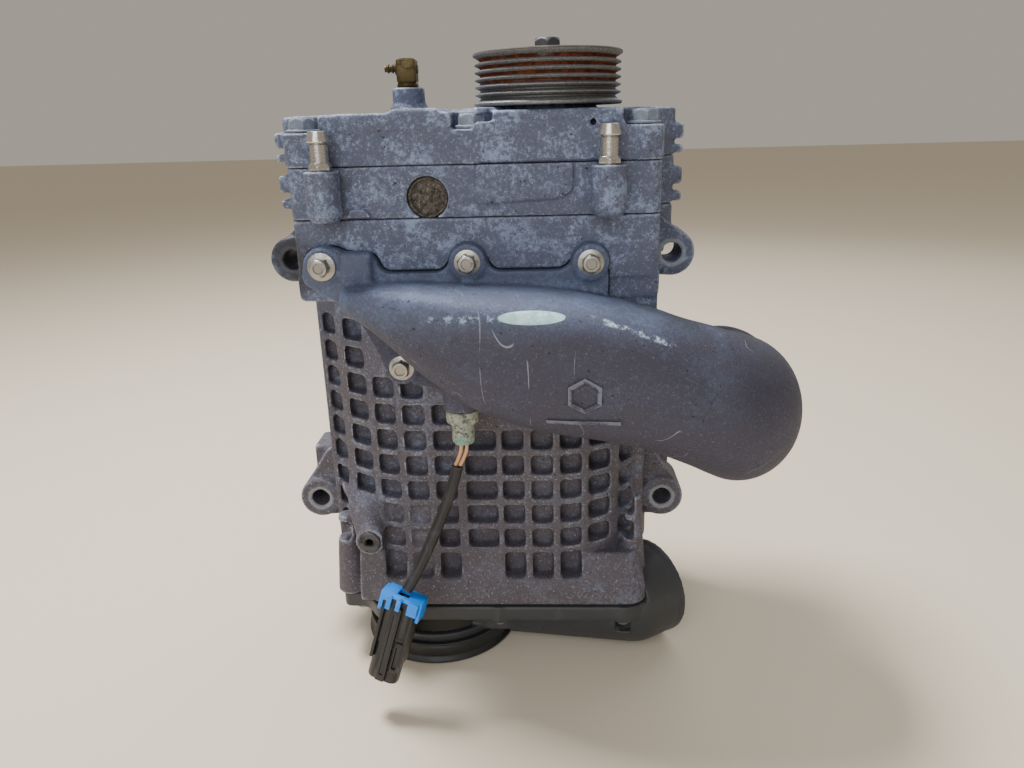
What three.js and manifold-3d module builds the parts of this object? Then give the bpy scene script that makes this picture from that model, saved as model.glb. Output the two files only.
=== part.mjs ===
// Belt-driven twin-screw supercharger, standing on its round air intake.
// Millimetres, +Z up, +X to the right and +Y to the back of the casing.
import * as THREE from 'three';
import { mergeVertices } from 'three/addons/utils/BufferGeometryUtils.js';
import Module from 'manifold-3d';

const wasm = await Module();
wasm.setup();

// Clearances
const gap = 0.3;             // between pieces that touch
const boltPlay = 0.4;        // around a bolt shank
const rotorPlay = 0.8;       // between the screws, and between screws and bores

// Heights above the surface that the part stands on
const ringHeight = 16;       // rubber intake ring
const tubTop = 40.2;         // top of the intake housing flange
const housingBottom = 42;
const housingHeight = 224.5;
const plateHeight = 25;
const coverSlab = 16.3;      // cover, up to the bolt seats
const coverRise = 8.1;       // raised middle of the cover above the seats

// Rotor bores
const maleX = 36;
const femaleX = -36;
const boreR = 44.6;
const shellWall = 18.4;      // bore to the front of the casing
const sideHalf = 93.5;       // half width of the casing's middle block
const endWall = 14.5;        // bottom wall, which holds the lower bearings

// Pulley and input shaft
const pulleyX = 38.6;
const pulleyY = -2.5;
const pulleyR = 38.1;
const grooveCount = 6;
const groovePitch = 3.56;
const grooveDepth = 3.4;
const flangeWidth = 2.1;
const shaftR = 8.5;
const shaftBoltR = 5;
const shaftBoltDepth = 16;
const skirtWall = 5.2;       // pulley rim, from the groove bottoms to the inside

// Gears: module and teeth
const inputModule = 1.5;
const driveTeeth = 24;
const pinionTeeth = 16;
const timingTeethMale = 18;
const timingTeethFemale = 30;
const gearPlay = 0.5;        // thinner teeth, for backlash

// Gear case outline
const caseFrontY = -40;
const caseLeft = -91.5;
const caseRight = 94;
const rearHalf = 107;        // the rear of the gear case is wider
const caseBackY = 94;

// Mounting ears
const earX = 105.8;
const earZ = [91.4, 240.6];
const earR = 12.7;
const earBoreR = 5.5;
const earDepth = 30;

// Cast pockets over the front of the casing
const pocketPitchX = 16.2;
const pocketPitchZ = 15.4;
const pocketWidth = 12;
const pocketHeight = 11.4;
const pocketDepth = 6;
const pocketRows = 9;
const firstRowZ = 206;

// Air outlet duct
const ductWall = 5;
const ductFlange = 7;
const seatY = -36.2;         // machined face that the duct bolts to
const ductGasket = 0.9;
const pipeMouthR = 36;
const pipeX = 132.5;
const pipeZ = 163;
const pipeEndY = 0;
const ductBolts = [[-76, 244.5], [-2.6, 245], [59, 244], [-39.5, 190.4]];

// Intake housing
const ringX = -34;
const ringY = 6;
const ringR = 47.5;
const tubeR = 29;
const tubeWall = 4;
const rimX = 103;
const rimY = 1;
const rimTurn = THREE.MathUtils.degToRad(34);
const channelY = 0;

// Plugs, fittings and fasteners
const insertX = -66.6;
const insertZ = 84;
const plugX = -21.6;
const plugRise = 9.7;        // core plug's middle above the plate's underside
const plugR = 10;
const barbPlaces = [[-71.1, -47.5], [67.2, -47.5]];
const coverBolts = [[-83, -31], [1, -31], [85, -31], [-83, 78], [1, 84], [85, 78]];
const dowelPlaces = [[-98, 40], [98, 40]];
const screwPlaces = [[-80, -19], [6.5, -35.5], [80, -35.5], [-78, 76], [0, 85], [80, 76]];
const oilX = -33.2;
const oilY = -5;
const oilBossHeight = 12.4;  // above the cover
const sensorX = -7.5;
const sensorY = -55;
const sensorTop = 171;
const lowerBearing = { inner: 8.9, outer: 21, height: 10 };
const upperBearing = { inner: 11.1, outer: 26, height: 10 };
const inputBearing = { inner: shaftR + 0.4, outer: 17, height: 10 };

// Derived places
const housingTop = housingBottom + housingHeight;
const plateBottom = housingTop + gap;
const plateTop = plateBottom + plateHeight;
const coverBottom = plateTop + gap;
const seatZ = coverBottom + coverSlab;
const coverTop = seatZ + coverRise;
const inputCentres = inputModule * (driveTeeth + pinionTeeth) / 2;
const rotorY = pulleyY + Math.sqrt(inputCentres ** 2 - (pulleyX - maleX) ** 2);
const rotorCentres = maleX - femaleX;
const lobeR = boreR + shellWall;
const rotorBottom = housingBottom + endWall + rotorPlay;
const rotorTop = housingTop - gap;
const lowerBearingZ = housingBottom + 2.3;
const timingModule = 2 * rotorCentres / (timingTeethMale + timingTeethFemale);
const bearingPocketZ = plateBottom + 2;
const timingZ = plateBottom + 13.5;
const timingWidth = 10;
const driveZ = timingZ + timingWidth + 2.7;
const driveWidth = 9.5;
const caseInsideTop = driveZ + driveWidth + 1.3;
const noseTop = coverTop + 19.2;
const pulleyBottom = coverTop + 2;
const grooveBand = grooveCount * groovePitch;
const pulleyTop = pulleyBottom + grooveBand + 2 * flangeWidth;
const shaftTop = noseTop + 1.1;
const skirtR = pulleyR - grooveDepth - skirtWall;
const plugZ = plateBottom + plugRise;
const oilBossTop = coverTop + oilBossHeight;

// Helpers: geometry to solid and back

function volumeOf(geometry) {
  const place = geometry.getAttribute('position');
  const index = geometry.getIndex();
  const corners = [new THREE.Vector3(), new THREE.Vector3(), new THREE.Vector3()];
  let sum = 0;
  for (let i = 0; i < index.count; i += 3) {
    corners.forEach((corner, k) => corner.fromBufferAttribute(place, index.getX(i + k)));
    sum += corners[0].dot(corners[1].cross(corners[2]));
  }
  return sum;
}

function solidOf(source) {
  const bare = source.clone();
  bare.deleteAttribute('normal');
  bare.deleteAttribute('uv');
  const merged = mergeVertices(bare, 1e-4);
  const outward = volumeOf(merged) > 0;
  const index = merged.getIndex();
  const triangles = [];
  for (let i = 0; i < index.count; i += 3) {
    const [a, b, c] = [index.getX(i), index.getX(i + 1), index.getX(i + 2)];
    if (a === b || b === c || c === a) continue;
    triangles.push(a, ...(outward ? [b, c] : [c, b]));
  }
  return new wasm.Manifold(new wasm.Mesh({
    numProp: 3,
    vertProperties: new Float32Array(merged.getAttribute('position').array),
    triVerts: new Uint32Array(triangles),
  }));
}

function joined(...solids) {
  return solids.reduce((sum, solid) => sum.add(solid));
}

function without(solid, ...cutters) {
  return cutters.reduce((rest, cutter) => rest.subtract(cutter), solid);
}

const group = new THREE.Group();

const finishes = {
  casting: { color: 0x6f7787, roughness: 0.62, metalness: 0.35 },
  darkCasting: { color: 0x565a69, roughness: 0.55, metalness: 0.3 },
  steel: { color: 0x9a9a96, roughness: 0.4, metalness: 0.9 },
  pulleySteel: { color: 0x77706a, roughness: 0.5, metalness: 0.8 },
  zinc: { color: 0xb9b3a4, roughness: 0.4, metalness: 0.8 },
  nickel: { color: 0xc9c4b4, roughness: 0.3, metalness: 0.9 },
  brass: { color: 0x5c4c2c, roughness: 0.5, metalness: 0.8 },
  rust: { color: 0x5b4a3c, roughness: 0.85, metalness: 0.3 },
  sensorMetal: { color: 0x9aa398, roughness: 0.7, metalness: 0.4 },
  blackPlastic: { color: 0x2c2e30, roughness: 0.55, metalness: 0 },
  bluePlastic: { color: 0x1283ee, roughness: 0.45, metalness: 0 },
  rubber: { color: 0x1a1a1b, roughness: 0.6, metalness: 0 },
  tanWire: { color: 0xb98a62, roughness: 0.6, metalness: 0 },
  fibre: { color: 0x3a3a3c, roughness: 0.9, metalness: 0 },
};

function put(name, finish, solid) {
  const { vertProperties, triVerts } = solid.getMesh();
  const geometry = new THREE.BufferGeometry();
  geometry.setAttribute('position', new THREE.BufferAttribute(new Float32Array(vertProperties), 3));
  geometry.setIndex(new THREE.BufferAttribute(new Uint32Array(triVerts), 1));
  geometry.computeVertexNormals();
  const mesh = new THREE.Mesh(geometry, new THREE.MeshStandardMaterial(finishes[finish]));
  mesh.name = name;
  group.add(mesh);
}

// Helpers: basic shapes

function box(x0, x1, y0, y1, z0, z1) {
  const geometry = new THREE.BoxGeometry(x1 - x0, y1 - y0, z1 - z0);
  return solidOf(geometry.translate((x0 + x1) / 2, (y0 + y1) / 2, (z0 + z1) / 2));
}

function rod(radius, z0, z1, x = 0, y = 0, sides = 20) {
  const geometry = new THREE.CylinderGeometry(radius, radius, z1 - z0, sides).rotateX(Math.PI / 2);
  return solidOf(geometry.translate(x, y, (z0 + z1) / 2));
}

function rodY(radius, y0, y1, x, z, sides = 12) {
  const geometry = new THREE.CylinderGeometry(radius, radius, y1 - y0, sides);
  return solidOf(geometry.translate(x, (y0 + y1) / 2, z));
}

function rodBetween(start, end, r0, r1, sides) {
  const from = new THREE.Vector3(...start);
  const to = new THREE.Vector3(...end);
  const along = to.clone().sub(from);
  const geometry = new THREE.CylinderGeometry(r1, r0, along.length(), sides);
  const turn = new THREE.Quaternion();
  turn.setFromUnitVectors(new THREE.Vector3(0, 1, 0), along.clone().normalize());
  geometry.applyQuaternion(turn);
  return solidOf(geometry.translate(...from.add(to).multiplyScalar(0.5).toArray()));
}

// Profile of [radius, height] pairs, turned about a vertical axis.
function turned(profile, sides = 20, x = 0, y = 0) {
  const points = profile.map(([r, z]) => new THREE.Vector2(r, z));
  const geometry = new THREE.LatheGeometry(points, sides).rotateX(Math.PI / 2);
  return solidOf(geometry.translate(x, y, 0));
}

function ring(inner, outer, z0, z1, x, y, sides = 16) {
  return turned([[inner, z0], [outer, z0], [outer, z1], [inner, z1], [inner, z0]], sides, x, y);
}

function roundedShape(points, radius) {
  const shape = new THREE.Shape();
  const count = points.length;
  points.forEach(([x, y], i) => {
    const corner = new THREE.Vector2(x, y);
    const before = new THREE.Vector2(...points[(i + count - 1) % count]).sub(corner);
    const after = new THREE.Vector2(...points[(i + 1) % count]).sub(corner);
    const cut = Math.min(radius, before.length() / 2.2, after.length() / 2.2);
    const start = corner.clone().add(before.setLength(cut));
    const end = corner.clone().add(after.setLength(cut));
    if (i === 0) shape.moveTo(start.x, start.y);
    else shape.lineTo(start.x, start.y);
    shape.quadraticCurveTo(x, y, end.x, end.y);
  });
  shape.closePath();
  return shape;
}

function slab(points, radius, z0, z1, curveSegments = 2) {
  const options = { depth: z1 - z0, bevelEnabled: false, curveSegments };
  return solidOf(new THREE.ExtrudeGeometry(roundedShape(points, radius), options).translate(0, 0, z0));
}

// Outline in X and Z, thick from y0 to y1.
function wall(points, radius, y0, y1, curveSegments = 1) {
  const options = { depth: y1 - y0, bevelEnabled: false, curveSegments };
  const geometry = new THREE.ExtrudeGeometry(roundedShape(points, radius), options);
  return solidOf(geometry.rotateX(Math.PI / 2).translate(0, y1, 0));
}

// Outline moved outwards by a distance, edge by edge; a negative distance moves it inwards.
function widened(points, distance) {
  const count = points.length;
  const area = points.reduce((sum, [x, y], i) => {
    const [nextX, nextY] = points[(i + 1) % count];
    return sum + x * nextY - nextX * y;
  }, 0);
  const side = Math.sign(area);
  return points.map(([x, y], i) => {
    const before = points[(i + count - 1) % count];
    const after = points[(i + 1) % count];
    const u = new THREE.Vector2(x - before[0], y - before[1]).normalize();
    const v = new THREE.Vector2(after[0] - x, after[1] - y).normalize();
    const miter = new THREE.Vector2(u.y + v.y, -u.x - v.x).multiplyScalar(side / (1 + u.dot(v)));
    return [x + miter.x * distance, y + miter.y * distance];
  });
}

// Rotor housing

function lobes(radius, z0, z1, sides = 32) {
  return joined(rod(radius, z0, z1, femaleX, rotorY, sides), rod(radius, z0, z1, maleX, rotorY, sides));
}

function lobeFrontY(x) {
  const beyond = Math.max(0, Math.abs(x) - maleX);
  return rotorY - Math.sqrt(Math.max(0, lobeR ** 2 - beyond ** 2));
}

const caseOutline = [
  [caseLeft, caseFrontY], [caseRight, caseFrontY], [caseRight, 3], [rearHalf, 8], [rearHalf, 70],
  [caseRight, caseBackY - 4], [40, caseBackY], [-40, caseBackY], [caseLeft, caseBackY - 4],
  [-rearHalf, 70], [-rearHalf, 8], [caseLeft, 3],
];
const baseOutline = [
  [-90, -27], [-75, -27], [-65, -41], [87, -41], [94, -34],
  [94, 82], [60, 92], [-60, 92], [-90, 82],
];

const ductOutline = [
  [-88, 236], [-85, 251], [-70, 254], [-63, 250], [-50, 250], [-46, 240], [-13, 240], [-9, 252],
  [4, 252], [8, 240], [48, 240], [54, 252], [64, 252], [68, 240], [67, 172], [12, 168],
  [-30, 180], [-46, 183], [-50, 194], [-62, 220],
];
const portOutline = [[-50, 222], [52, 222], [52, 184], [10, 178], [-18, 190]];

function pocketCutters() {
  const cutters = [];
  const wideHalf = 8.7;
  const reach = 60;
  for (let row = 0; row < pocketRows; row += 1) {
    const z = firstRowZ - row * pocketPitchZ;
    for (let column = -5; column <= 5; column += 1) {
      const half = column === 0 ? wideHalf : pocketWidth / 2;
      const shift = wideHalf - pocketWidth / 2;
      const x = column * pocketPitchX - 0.8 + Math.sign(column) * shift * 0.55;
      const hidden = z > 165 && x > -60 + (206 - z) * 0.9;
      const nearInsert = z < 100 && Math.abs(x + 69) < 8;
      if (hidden || nearInsert) continue;
      const outer = Math.max(Math.abs(x - half), Math.abs(x + half));
      const floor = lobeFrontY(outer) + (Math.abs(column) === 5 ? 2 : pocketDepth);
      cutters.push(box(x - half, x + half, floor - reach, floor, z - pocketHeight / 2, z + pocketHeight / 2));
    }
  }
  return cutters;
}

function ear(side, z) {
  const upper = z > 200;
  const inner = side * (sideHalf - 6);
  const reachUp = upper ? 21 : 33;
  const web = wall([[inner, z - earR], [side * earX, z - earR], [side * (earX + earR * 0.95), z + 4],
    [side * (sideHalf + 5), z + reachUp], [inner, z + reachUp]], 2, 1, earDepth * 0.6);
  const boss = rodY(earR, 0, earDepth, side * earX, z, 16);
  const brace = box(Math.min(side * 90, side * 111), Math.max(side * 90, side * 111), 14, 38, z + 4, z + 30);
  return upper ? joined(web, boss) : joined(web, boss, brace);
}

function intakeWindow(x) {
  const shape = new THREE.Shape();
  const from = THREE.MathUtils.degToRad(205);
  const to = THREE.MathUtils.degToRad(335);
  shape.absarc(0, 0, boreR - 2, from, to, false);
  shape.absarc(0, 0, 26, to, from, true);
  const options = { depth: endWall + 4, bevelEnabled: false, curveSegments: 4 };
  return solidOf(new THREE.ExtrudeGeometry(shape, options).translate(x, rotorY, housingBottom - 2));
}

function rotorHousing() {
  const body = joined(
    lobes(lobeR, housingBottom, housingTop - 20),
    box(-sideHalf, sideHalf, -8, 62, housingBottom + 6, housingTop - 20),
    box(femaleX, maleX, rotorY - lobeR, rotorY + lobeR, housingBottom, housingTop - 20),
    slab(baseOutline, 6, housingBottom, housingBottom + 12),
    slab(caseOutline, 6, housingTop - 31, housingTop),
    wall(widened(ductOutline, 3), 4, seatY, 10),
    ...[-1, 1].flatMap((side) => earZ.map((z) => ear(side, z))),
    rodY(8.5, -40.5, 0, insertX, insertZ, 12),
    ...[[-84, -22], [86, -22], [-84, 76], [86, 76]].map(([x, y]) => rod(8, housingBottom, 100, x, y, 10)),
  );
  const ductRecess = wall(widened(ductOutline, 1.2), 3, -60, seatY);
  const bearingSeats = [femaleX, maleX].map(
    (x) => rod(lowerBearing.outer + gap, lowerBearingZ - gap, housingBottom + endWall + 1, x, rotorY, 16));
  const earBores = [-1, 1].flatMap(
    (side) => earZ.map((z) => rodY(earBoreR, -5, earDepth + 5, side * earX, z, 12)));
  const boltHoles = ductBolts.map(([x, z]) => rodY(3 + boltPlay, -60, seatY + 17, x, z, 8));
  return without(
    body,
    lobes(boreR, housingBottom + endWall, housingTop + 5, 32),
    intakeWindow(femaleX),
    intakeWindow(maleX),
    ...bearingSeats,
    ductRecess,
    wall(portOutline, 4, -60, rotorY - 20),
    ...pocketCutters(),
    ...earBores,
    ...boltHoles,
    ...screwPlaces.map(([x, y]) => rod(2.5 + boltPlay, housingBottom - 1, housingBottom + 11, x, y, 8)),
    ...coverBolts.map(([x, y]) => rod(4 + boltPlay, housingTop - 16, housingTop + 1, x, y, 8)),
    ...dowelPlaces.map(([x, y]) => rod(3 + gap, housingTop - 8, housingTop + 1, x, y, 8)),
    rodY(4.2, -45, -28, insertX, insertZ, 10),
    tubeRelief(tubeR + 3),
  );
}

// Gear case: middle plate and cover

const gearRoom = [
  [-86, -20], [-30, -24], [16, -25], [60, -25], [74, 0],
  [72, 60], [10, 74], [-20, 82], [-64, 81], [-87, 58],
];

function sideTabs(z0, z1) {
  return [-1, 1].map((side) => {
    const near = side * (rearHalf - 4);
    const far = side * (rearHalf + 4);
    return box(Math.min(near, far), Math.max(near, far), 8, 20, z0, z1);
  });
}

function barbBoss([x, y]) {
  return turned([[0, plateBottom - 1], [6.5, plateBottom - 1], [8.6, plateBottom + 4],
    [8.6, plateTop - 1], [0, plateTop - 1]], 16, x, y);
}

function gearPlate() {
  const body = joined(
    slab(caseOutline, 6, plateBottom, plateTop),
    ...barbPlaces.map(barbBoss),
    ...barbPlaces.map(([x]) => box(x - 7, x + 7, -46, -38, plateBottom + 4, plateTop - 1)),
    wall([[5, plateBottom + 6], [44, plateBottom + 8], [44, plateTop], [5, plateTop]], 2, -42, -30),
    ...sideTabs(plateBottom + 10, plateBottom + 19),
  );
  const bearingSeats = [femaleX, maleX].flatMap((x) => [
    rod(upperBearing.outer + gap, bearingPocketZ, plateTop + 1, x, rotorY, 16),
    rod(16, plateBottom - 1, bearingPocketZ + 1, x, rotorY, 12),
  ]);
  return without(
    body,
    slab(gearRoom, 10, plateBottom + 12.5, plateTop + 1),
    ...bearingSeats,
    rodY(plugR + gap, -60, caseFrontY + 7.8, plugX, plugZ, 16),
    ...barbPlaces.map(([x, y]) => rod(3.6 + gap, plateTop - 10, plateTop + 1, x, y, 10)),
    ...coverBolts.map(([x, y]) => rod(4 + boltPlay, plateBottom - 1, plateTop + 1, x, y, 8)),
    ...dowelPlaces.map(([x, y]) => rod(3 + gap, plateBottom - 1, plateBottom + 7, x, y, 8)),
  );
}

function gearCover() {
  const nose = turned([[0, seatZ], [30, seatZ], [30, coverTop], [24.5, coverTop + 1], [23, coverTop + 4],
    [23, noseTop], [0, noseTop]], 20, pulleyX, pulleyY);
  const boltWells = coverBolts.map(([x, y]) => {
    const outside = y < rotorY ? -60 : 120;
    const corner = Math.abs(x) > 50 ? Math.sign(x) * 120 : x + 11;
    return joined(
      rod(11, seatZ, coverTop + 2, x, y, 12),
      box(x - 11, x + 11, Math.min(y, outside), Math.max(y, outside), seatZ, coverTop + 2),
      box(Math.min(x, corner), Math.max(x, corner), y - 11, y + 11, seatZ, coverTop + 2),
    );
  });
  const raised = without(slab(caseOutline, 6, seatZ - 1, coverTop), ...boltWells);
  const body = joined(
    slab(caseOutline, 6, coverBottom, seatZ),
    raised,
    nose,
    rod(8.4, seatZ, oilBossTop, oilX, oilY, 14),
    wall([[-41, coverTop - 2], [-12, coverTop - 2], [-16, coverTop + 2], [-36, coverTop + 2]], 1,
      caseFrontY, 10),
    ...sideTabs(seatZ - 8, seatZ),
  );
  return without(
    body,
    slab(gearRoom, 10, coverBottom - 1, caseInsideTop),
    rod(inputBearing.outer + gap, caseInsideTop - 2, noseTop - 1, pulleyX, pulleyY, 16),
    rod(13, noseTop - 2, noseTop + 1, pulleyX, pulleyY, 16),
    rod(3 + gap, caseInsideTop - 2, oilBossTop + 1, oilX, oilY, 12),
    ...coverBolts.map(([x, y]) => rod(4 + boltPlay, coverBottom - 1, seatZ + 1, x, y, 8)),
  );
}

// Air outlet duct, swept from station to station

const stations = [
  { x: -66, y: -44, z: 228, front: 12, back: 3, top: 6, bottom: 6, turn: 0, square: 2.2 },
  { x: -48, y: -45, z: 226, front: 20, back: 6, top: 10, bottom: 16.5, turn: 0, square: 2.8 },
  { x: -28, y: -47, z: 221, front: 26, back: 8, top: 15, bottom: 29, turn: 0, square: 3.2 },
  { x: -7, y: -49, z: 215, front: 33, back: 10, top: 20, bottom: 38, turn: 0, square: 3.4 },
  { x: 16, y: -51, z: 209, front: 37, back: 12, top: 25, bottom: 42, turn: 0, square: 3.4 },
  { x: 40, y: -53, z: 203, front: 38, back: 14, top: 29, bottom: 42, turn: 0, square: 3.2 },
  { x: 62, y: -55, z: 197, front: 37, back: 18, top: 32, bottom: 40, turn: 0, square: 2.8 },
  { x: 84, y: -57, z: 189, front: 36, back: 33.5, top: 35, bottom: 37, turn: 0, square: 2.2 },
  { x: 104, y: -57, z: 180, front: 35.8, back: 35, top: 37, bottom: 36.5, turn: 5, square: 2 },
  { x: 119, y: -54, z: 172, front: 36.5, back: 36.5, top: 39, bottom: 38, turn: 24, square: 2 },
  { x: 130, y: -45, z: 165, front: 37, back: 37, top: 39.5, bottom: 39, turn: 52, square: 2 },
  { x: 134.5, y: -33, z: 162, front: 37.5, back: 37.5, top: 39, bottom: 39, turn: 76, square: 2 },
  { x: 133, y: -20, z: 162, front: 39, back: 37.5, top: 38, bottom: 38.5, turn: 90, square: 2 },
  { x: pipeX, y: pipeEndY, z: pipeZ, front: pipeMouthR, back: pipeMouthR, top: pipeMouthR,
    bottom: pipeMouthR, turn: 90, square: 2 },
];

function swept(list, inset, sides) {
  const geometry = new THREE.CylinderGeometry(1, 1, 1, sides, list.length - 1);
  const place = geometry.getAttribute('position');
  const point = new THREE.Vector3();
  for (let i = 0; i < place.count; i += 1) {
    point.fromBufferAttribute(place, i);
    const station = list[Math.round((0.5 - point.y) * (list.length - 1))];
    const turn = THREE.MathUtils.degToRad(station.turn);
    const squeeze = (value, power) => Math.sign(value) * Math.abs(value) ** (2 / power);
    const rounding = point.z > 0 ? station.square : 2 + (station.square - 2) * 0.3;
    const reachOut = (point.x > 0 ? station.front : station.back) - inset;
    const reachUp = (point.z > 0 ? station.top : station.bottom) - inset;
    const out = squeeze(point.x, rounding) * Math.max(reachOut, 0.5);
    const up = squeeze(point.z, rounding) * Math.max(reachUp, 0.5);
    place.setXYZ(i, station.x + Math.sin(turn) * out, station.y - Math.cos(turn) * out, station.z + up);
  }
  return solidOf(geometry);
}

function outletDuct() {
  const flangeBack = seatY - ductGasket - 2 * gap;
  const flangeFront = flangeBack - ductFlange;
  const inner = stations.slice(2).map((station) => ({ ...station }));
  inner[inner.length - 1].y += 5;
  const bead = rodY(pipeMouthR + 1.5, pipeEndY - 5, pipeEndY - 1, pipeX, pipeZ, 24);
  const sensorBoss = rod(9.5, sensorTop + gap, 200, sensorX, sensorY, 12);
  const body = joined(
    swept(stations, 0, 24),
    wall(ductOutline, 4, flangeFront, flangeBack),
    bead,
    sensorBoss,
    rodY(9, flangeFront - 1.5, flangeFront + 2, ductBolts[0][0], ductBolts[0][1], 12),
  );
  return without(
    body,
    swept(inner, ductWall, 20),
    wall(portOutline, 4, flangeFront - 7, 0),
    box(-120, 72.5, flangeBack, 60, 100, 300),
    ...ductBolts.map(([x, z]) => rodY(3 + boltPlay, -56, flangeBack + 2, x, z, 8)),
    ...ductBolts.map(([x, z]) => rodY(8, flangeFront - 20, flangeFront - 1.5, x, z, 12)),
    rod(4.6 + gap, sensorTop - 2, sensorTop + 12, sensorX, sensorY, 12),
  );
}

function ductSeal() {
  const back = seatY - gap;
  const body = wall(widened(ductOutline, -2), 4, back - ductGasket, back);
  return without(
    body,
    wall(portOutline, 4, back - 5, back + 5),
    ...ductBolts.map(([x, z]) => rodY(3 + boltPlay, back - 5, back + 5, x, z, 8)),
  );
}

// Intake housing, its rubber ring and its gasket

const tubOutline = [[-74, -8], [-64, -27], [62, -27], [76, -20], [84, 56], [50, 76], [-50, 76], [-82, 56]];
const tubeZ = tubeR + 0.4;
const tubeAxis = [Math.cos(rimTurn), Math.sin(rimTurn)];

function alongTube(distance) {
  return [rimX + distance * tubeAxis[0], rimY + distance * tubeAxis[1], tubeZ];
}

// Round passage that runs to the right inside the tub and bends back to the side mouth.
function channel(radius, startX) {
  const bend = alongTube(-19);
  const knee = solidOf(new THREE.SphereGeometry(radius, 20, 10).rotateX(Math.PI / 2).translate(...bend));
  const beyondMouth = rodBetween(alongTube(0), alongTube(60), 2 * radius, 2 * radius, 8);
  return joined(
    rodBetween([startX, channelY, tubeZ], bend, radius, radius, 20),
    knee,
    rodBetween(bend, alongTube(0), radius, radius, 20),
  ).subtract(beyondMouth);
}

function tubeRelief(radius) {
  return rodBetween(alongTube(-27), alongTube(40), radius, radius, 20);
}

function intakeHousing() {
  const neckR = ringR - 4;
  const casingSpace = box(-120, 120, -80, 120, tubTop, 120).subtract(tubeRelief(tubeR + 0.6));
  const bead = rodBetween(alongTube(-4), alongTube(0), tubeR + 0.35, tubeR + 0.35, 20);
  const shell = without(
    joined(
      slab(baseOutline, 6, tubTop - 9.5, tubTop),
      slab(tubOutline, 12, ringHeight - 2, tubTop - 5),
      channel(tubeR, 14),
      bead,
    ),
    rod(ringR + 1.5, -5, ringHeight - 2, ringX, ringY, 24),
    casingSpace,
  );
  return without(
    joined(shell, rod(neckR, 5.9, ringHeight + 2, ringX, ringY, 24)),
    slab(widened(tubOutline, -3.5), 10, ringHeight + 1.5, tubTop + 1),
    channel(tubeR - tubeWall, 18),
    rodBetween(alongTube(-6), alongTube(8), tubeR - tubeWall, tubeR - tubeWall, 20),
    rod(neckR - 4, -2, ringHeight + 8, ringX, ringY, 24),
    ...screwPlaces.map(([x, y]) => rod(4.6, 22, tubTop - 9.5, x, y, 10)),
    ...screwPlaces.map(([x, y]) => rod(2.5 + boltPlay, 0, tubTop + 1, x, y, 8)),
  );
}

function intakeGasket() {
  const z0 = tubTop + gap;
  const z1 = housingBottom - gap;
  return without(
    slab(widened(baseOutline, -2), 6, z0, z1),
    slab(widened(tubOutline, 1), 8, z0 - 1, z1 + 1),
    tubeRelief(tubeR + 1.5),
    ...screwPlaces.map(([x, y]) => rod(2.5 + boltPlay, z0 - 1, z1 + 1, x, y, 8)),
  );
}

function intakeRing() {
  const inner = ringR - 4 + gap;
  return turned([[ringR - 9, 0], [ringR, 0], [ringR + 0.8, 2], [ringR - 0.6, 4], [ringR - 0.6, 13.5],
    [inner, 13.5], [inner, 5.5], [ringR - 9, 5.5], [ringR - 9, 0]], 24, ringX, ringY);
}

// Fasteners and small fittings

// Flanged hexagon bolt with its head towards +Z and its seat at z = 0.
function bolt({ across, flange, head, shank, length }) {
  const hexR = Math.min(across / Math.sqrt(3), flange - 0.1);
  return joined(
    rod(shank, -length, 1, 0, 0, 6),
    rod(flange, 0, 1.6, 0, 0, 12),
    rod(hexR, 1, head + 0.2, 0, 0, 6),
  );
}

const caseBolt = { across: 12, flange: 8.4, head: 6.8, shank: 4, length: 36 };
const ductBolt = { across: 8.6, flange: 7.1, head: 6.4, shank: 3, length: 19 };
const trayScrew = { across: 7, flange: 4.1, head: 3.6, shank: 2.5, length: 18 };

function facing(solid, turn, x, y, z) {
  return solid.rotate(turn).translate([x, y, z]);
}

function hoseBarb([x, y]) {
  const z = plateTop - 1 + gap;
  const stem = turned([[0, z - 8], [3.6, z - 8], [3.6, z], [4.4, z], [4.4, z + 12.6], [5.7, z + 13.4],
    [4.3, z + 18.2], [2.8, z + 18.2], [2.8, z + 2], [0, z + 2]], 12, x, y);
  const hex = hexagon(5.9, z, z + 3.4, x, y).subtract(rod(2.8, z + 2, z + 5, x, y, 12));
  return joined(stem, hex);
}

function hexagon(radius, z0, z1, x, y) {
  return rod(radius, z0, z1, x, y, 6);
}

function oilElbow() {
  const z = oilBossTop + gap;
  const armZ = z + 9;
  const arm = rodBetween([oilX, oilY, armZ], [oilX - 10.5, oilY, armZ], 1.5, 1.5, 12);
  const beads = [7.6, 9.6].map((out) => {
    const start = [oilX - out + 0.6, oilY, armZ];
    return rodBetween(start, [start[0] - 1.5, oilY, armZ], 2.3, 1.5, 12);
  });
  return joined(
    rod(3, z - 9, z + 1, oilX, oilY, 12),
    rod(5.2, z, z + 2, oilX, oilY, 12),
    box(oilX - 5, oilX + 5, oilY - 5, oilY + 5, z + 1.8, z + 13.6),
    arm,
    ...beads,
  );
}

function corePlug() {
  const face = caseFrontY + 2.5;
  const cup = rodY(plugR, face, face + 5, plugX, plugZ, 16);
  return cup.subtract(rodY(plugR - 1.6, face - 1, face + 1.6, plugX, plugZ, 16));
}

function portInsert() {
  const shell = joined(
    rodY(3.9, -41.5, -29, insertX, insertZ, 14),
    rodY(6.4, -42.4, -40.8, insertX, insertZ, 16),
  );
  return shell.subtract(rodY(2, -45, -31, insertX, insertZ, 10));
}

function temperatureSensor() {
  const body = joined(
    rod(4.6, sensorTop - 1, sensorTop + 10, sensorX, sensorY, 12),
    rod(8.7, sensorTop - 7.5, sensorTop, sensorX, sensorY, 6),
    rod(5.9, sensorTop - 19, sensorTop - 7, sensorX, sensorY, 16),
  );
  return body.subtract(rod(4.6, sensorTop - 20, sensorTop - 17.5, sensorX, sensorY, 12));
}

// Sensor cable: two short wires, a sleeve and a two-way plug, hanging in front of the casing

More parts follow.
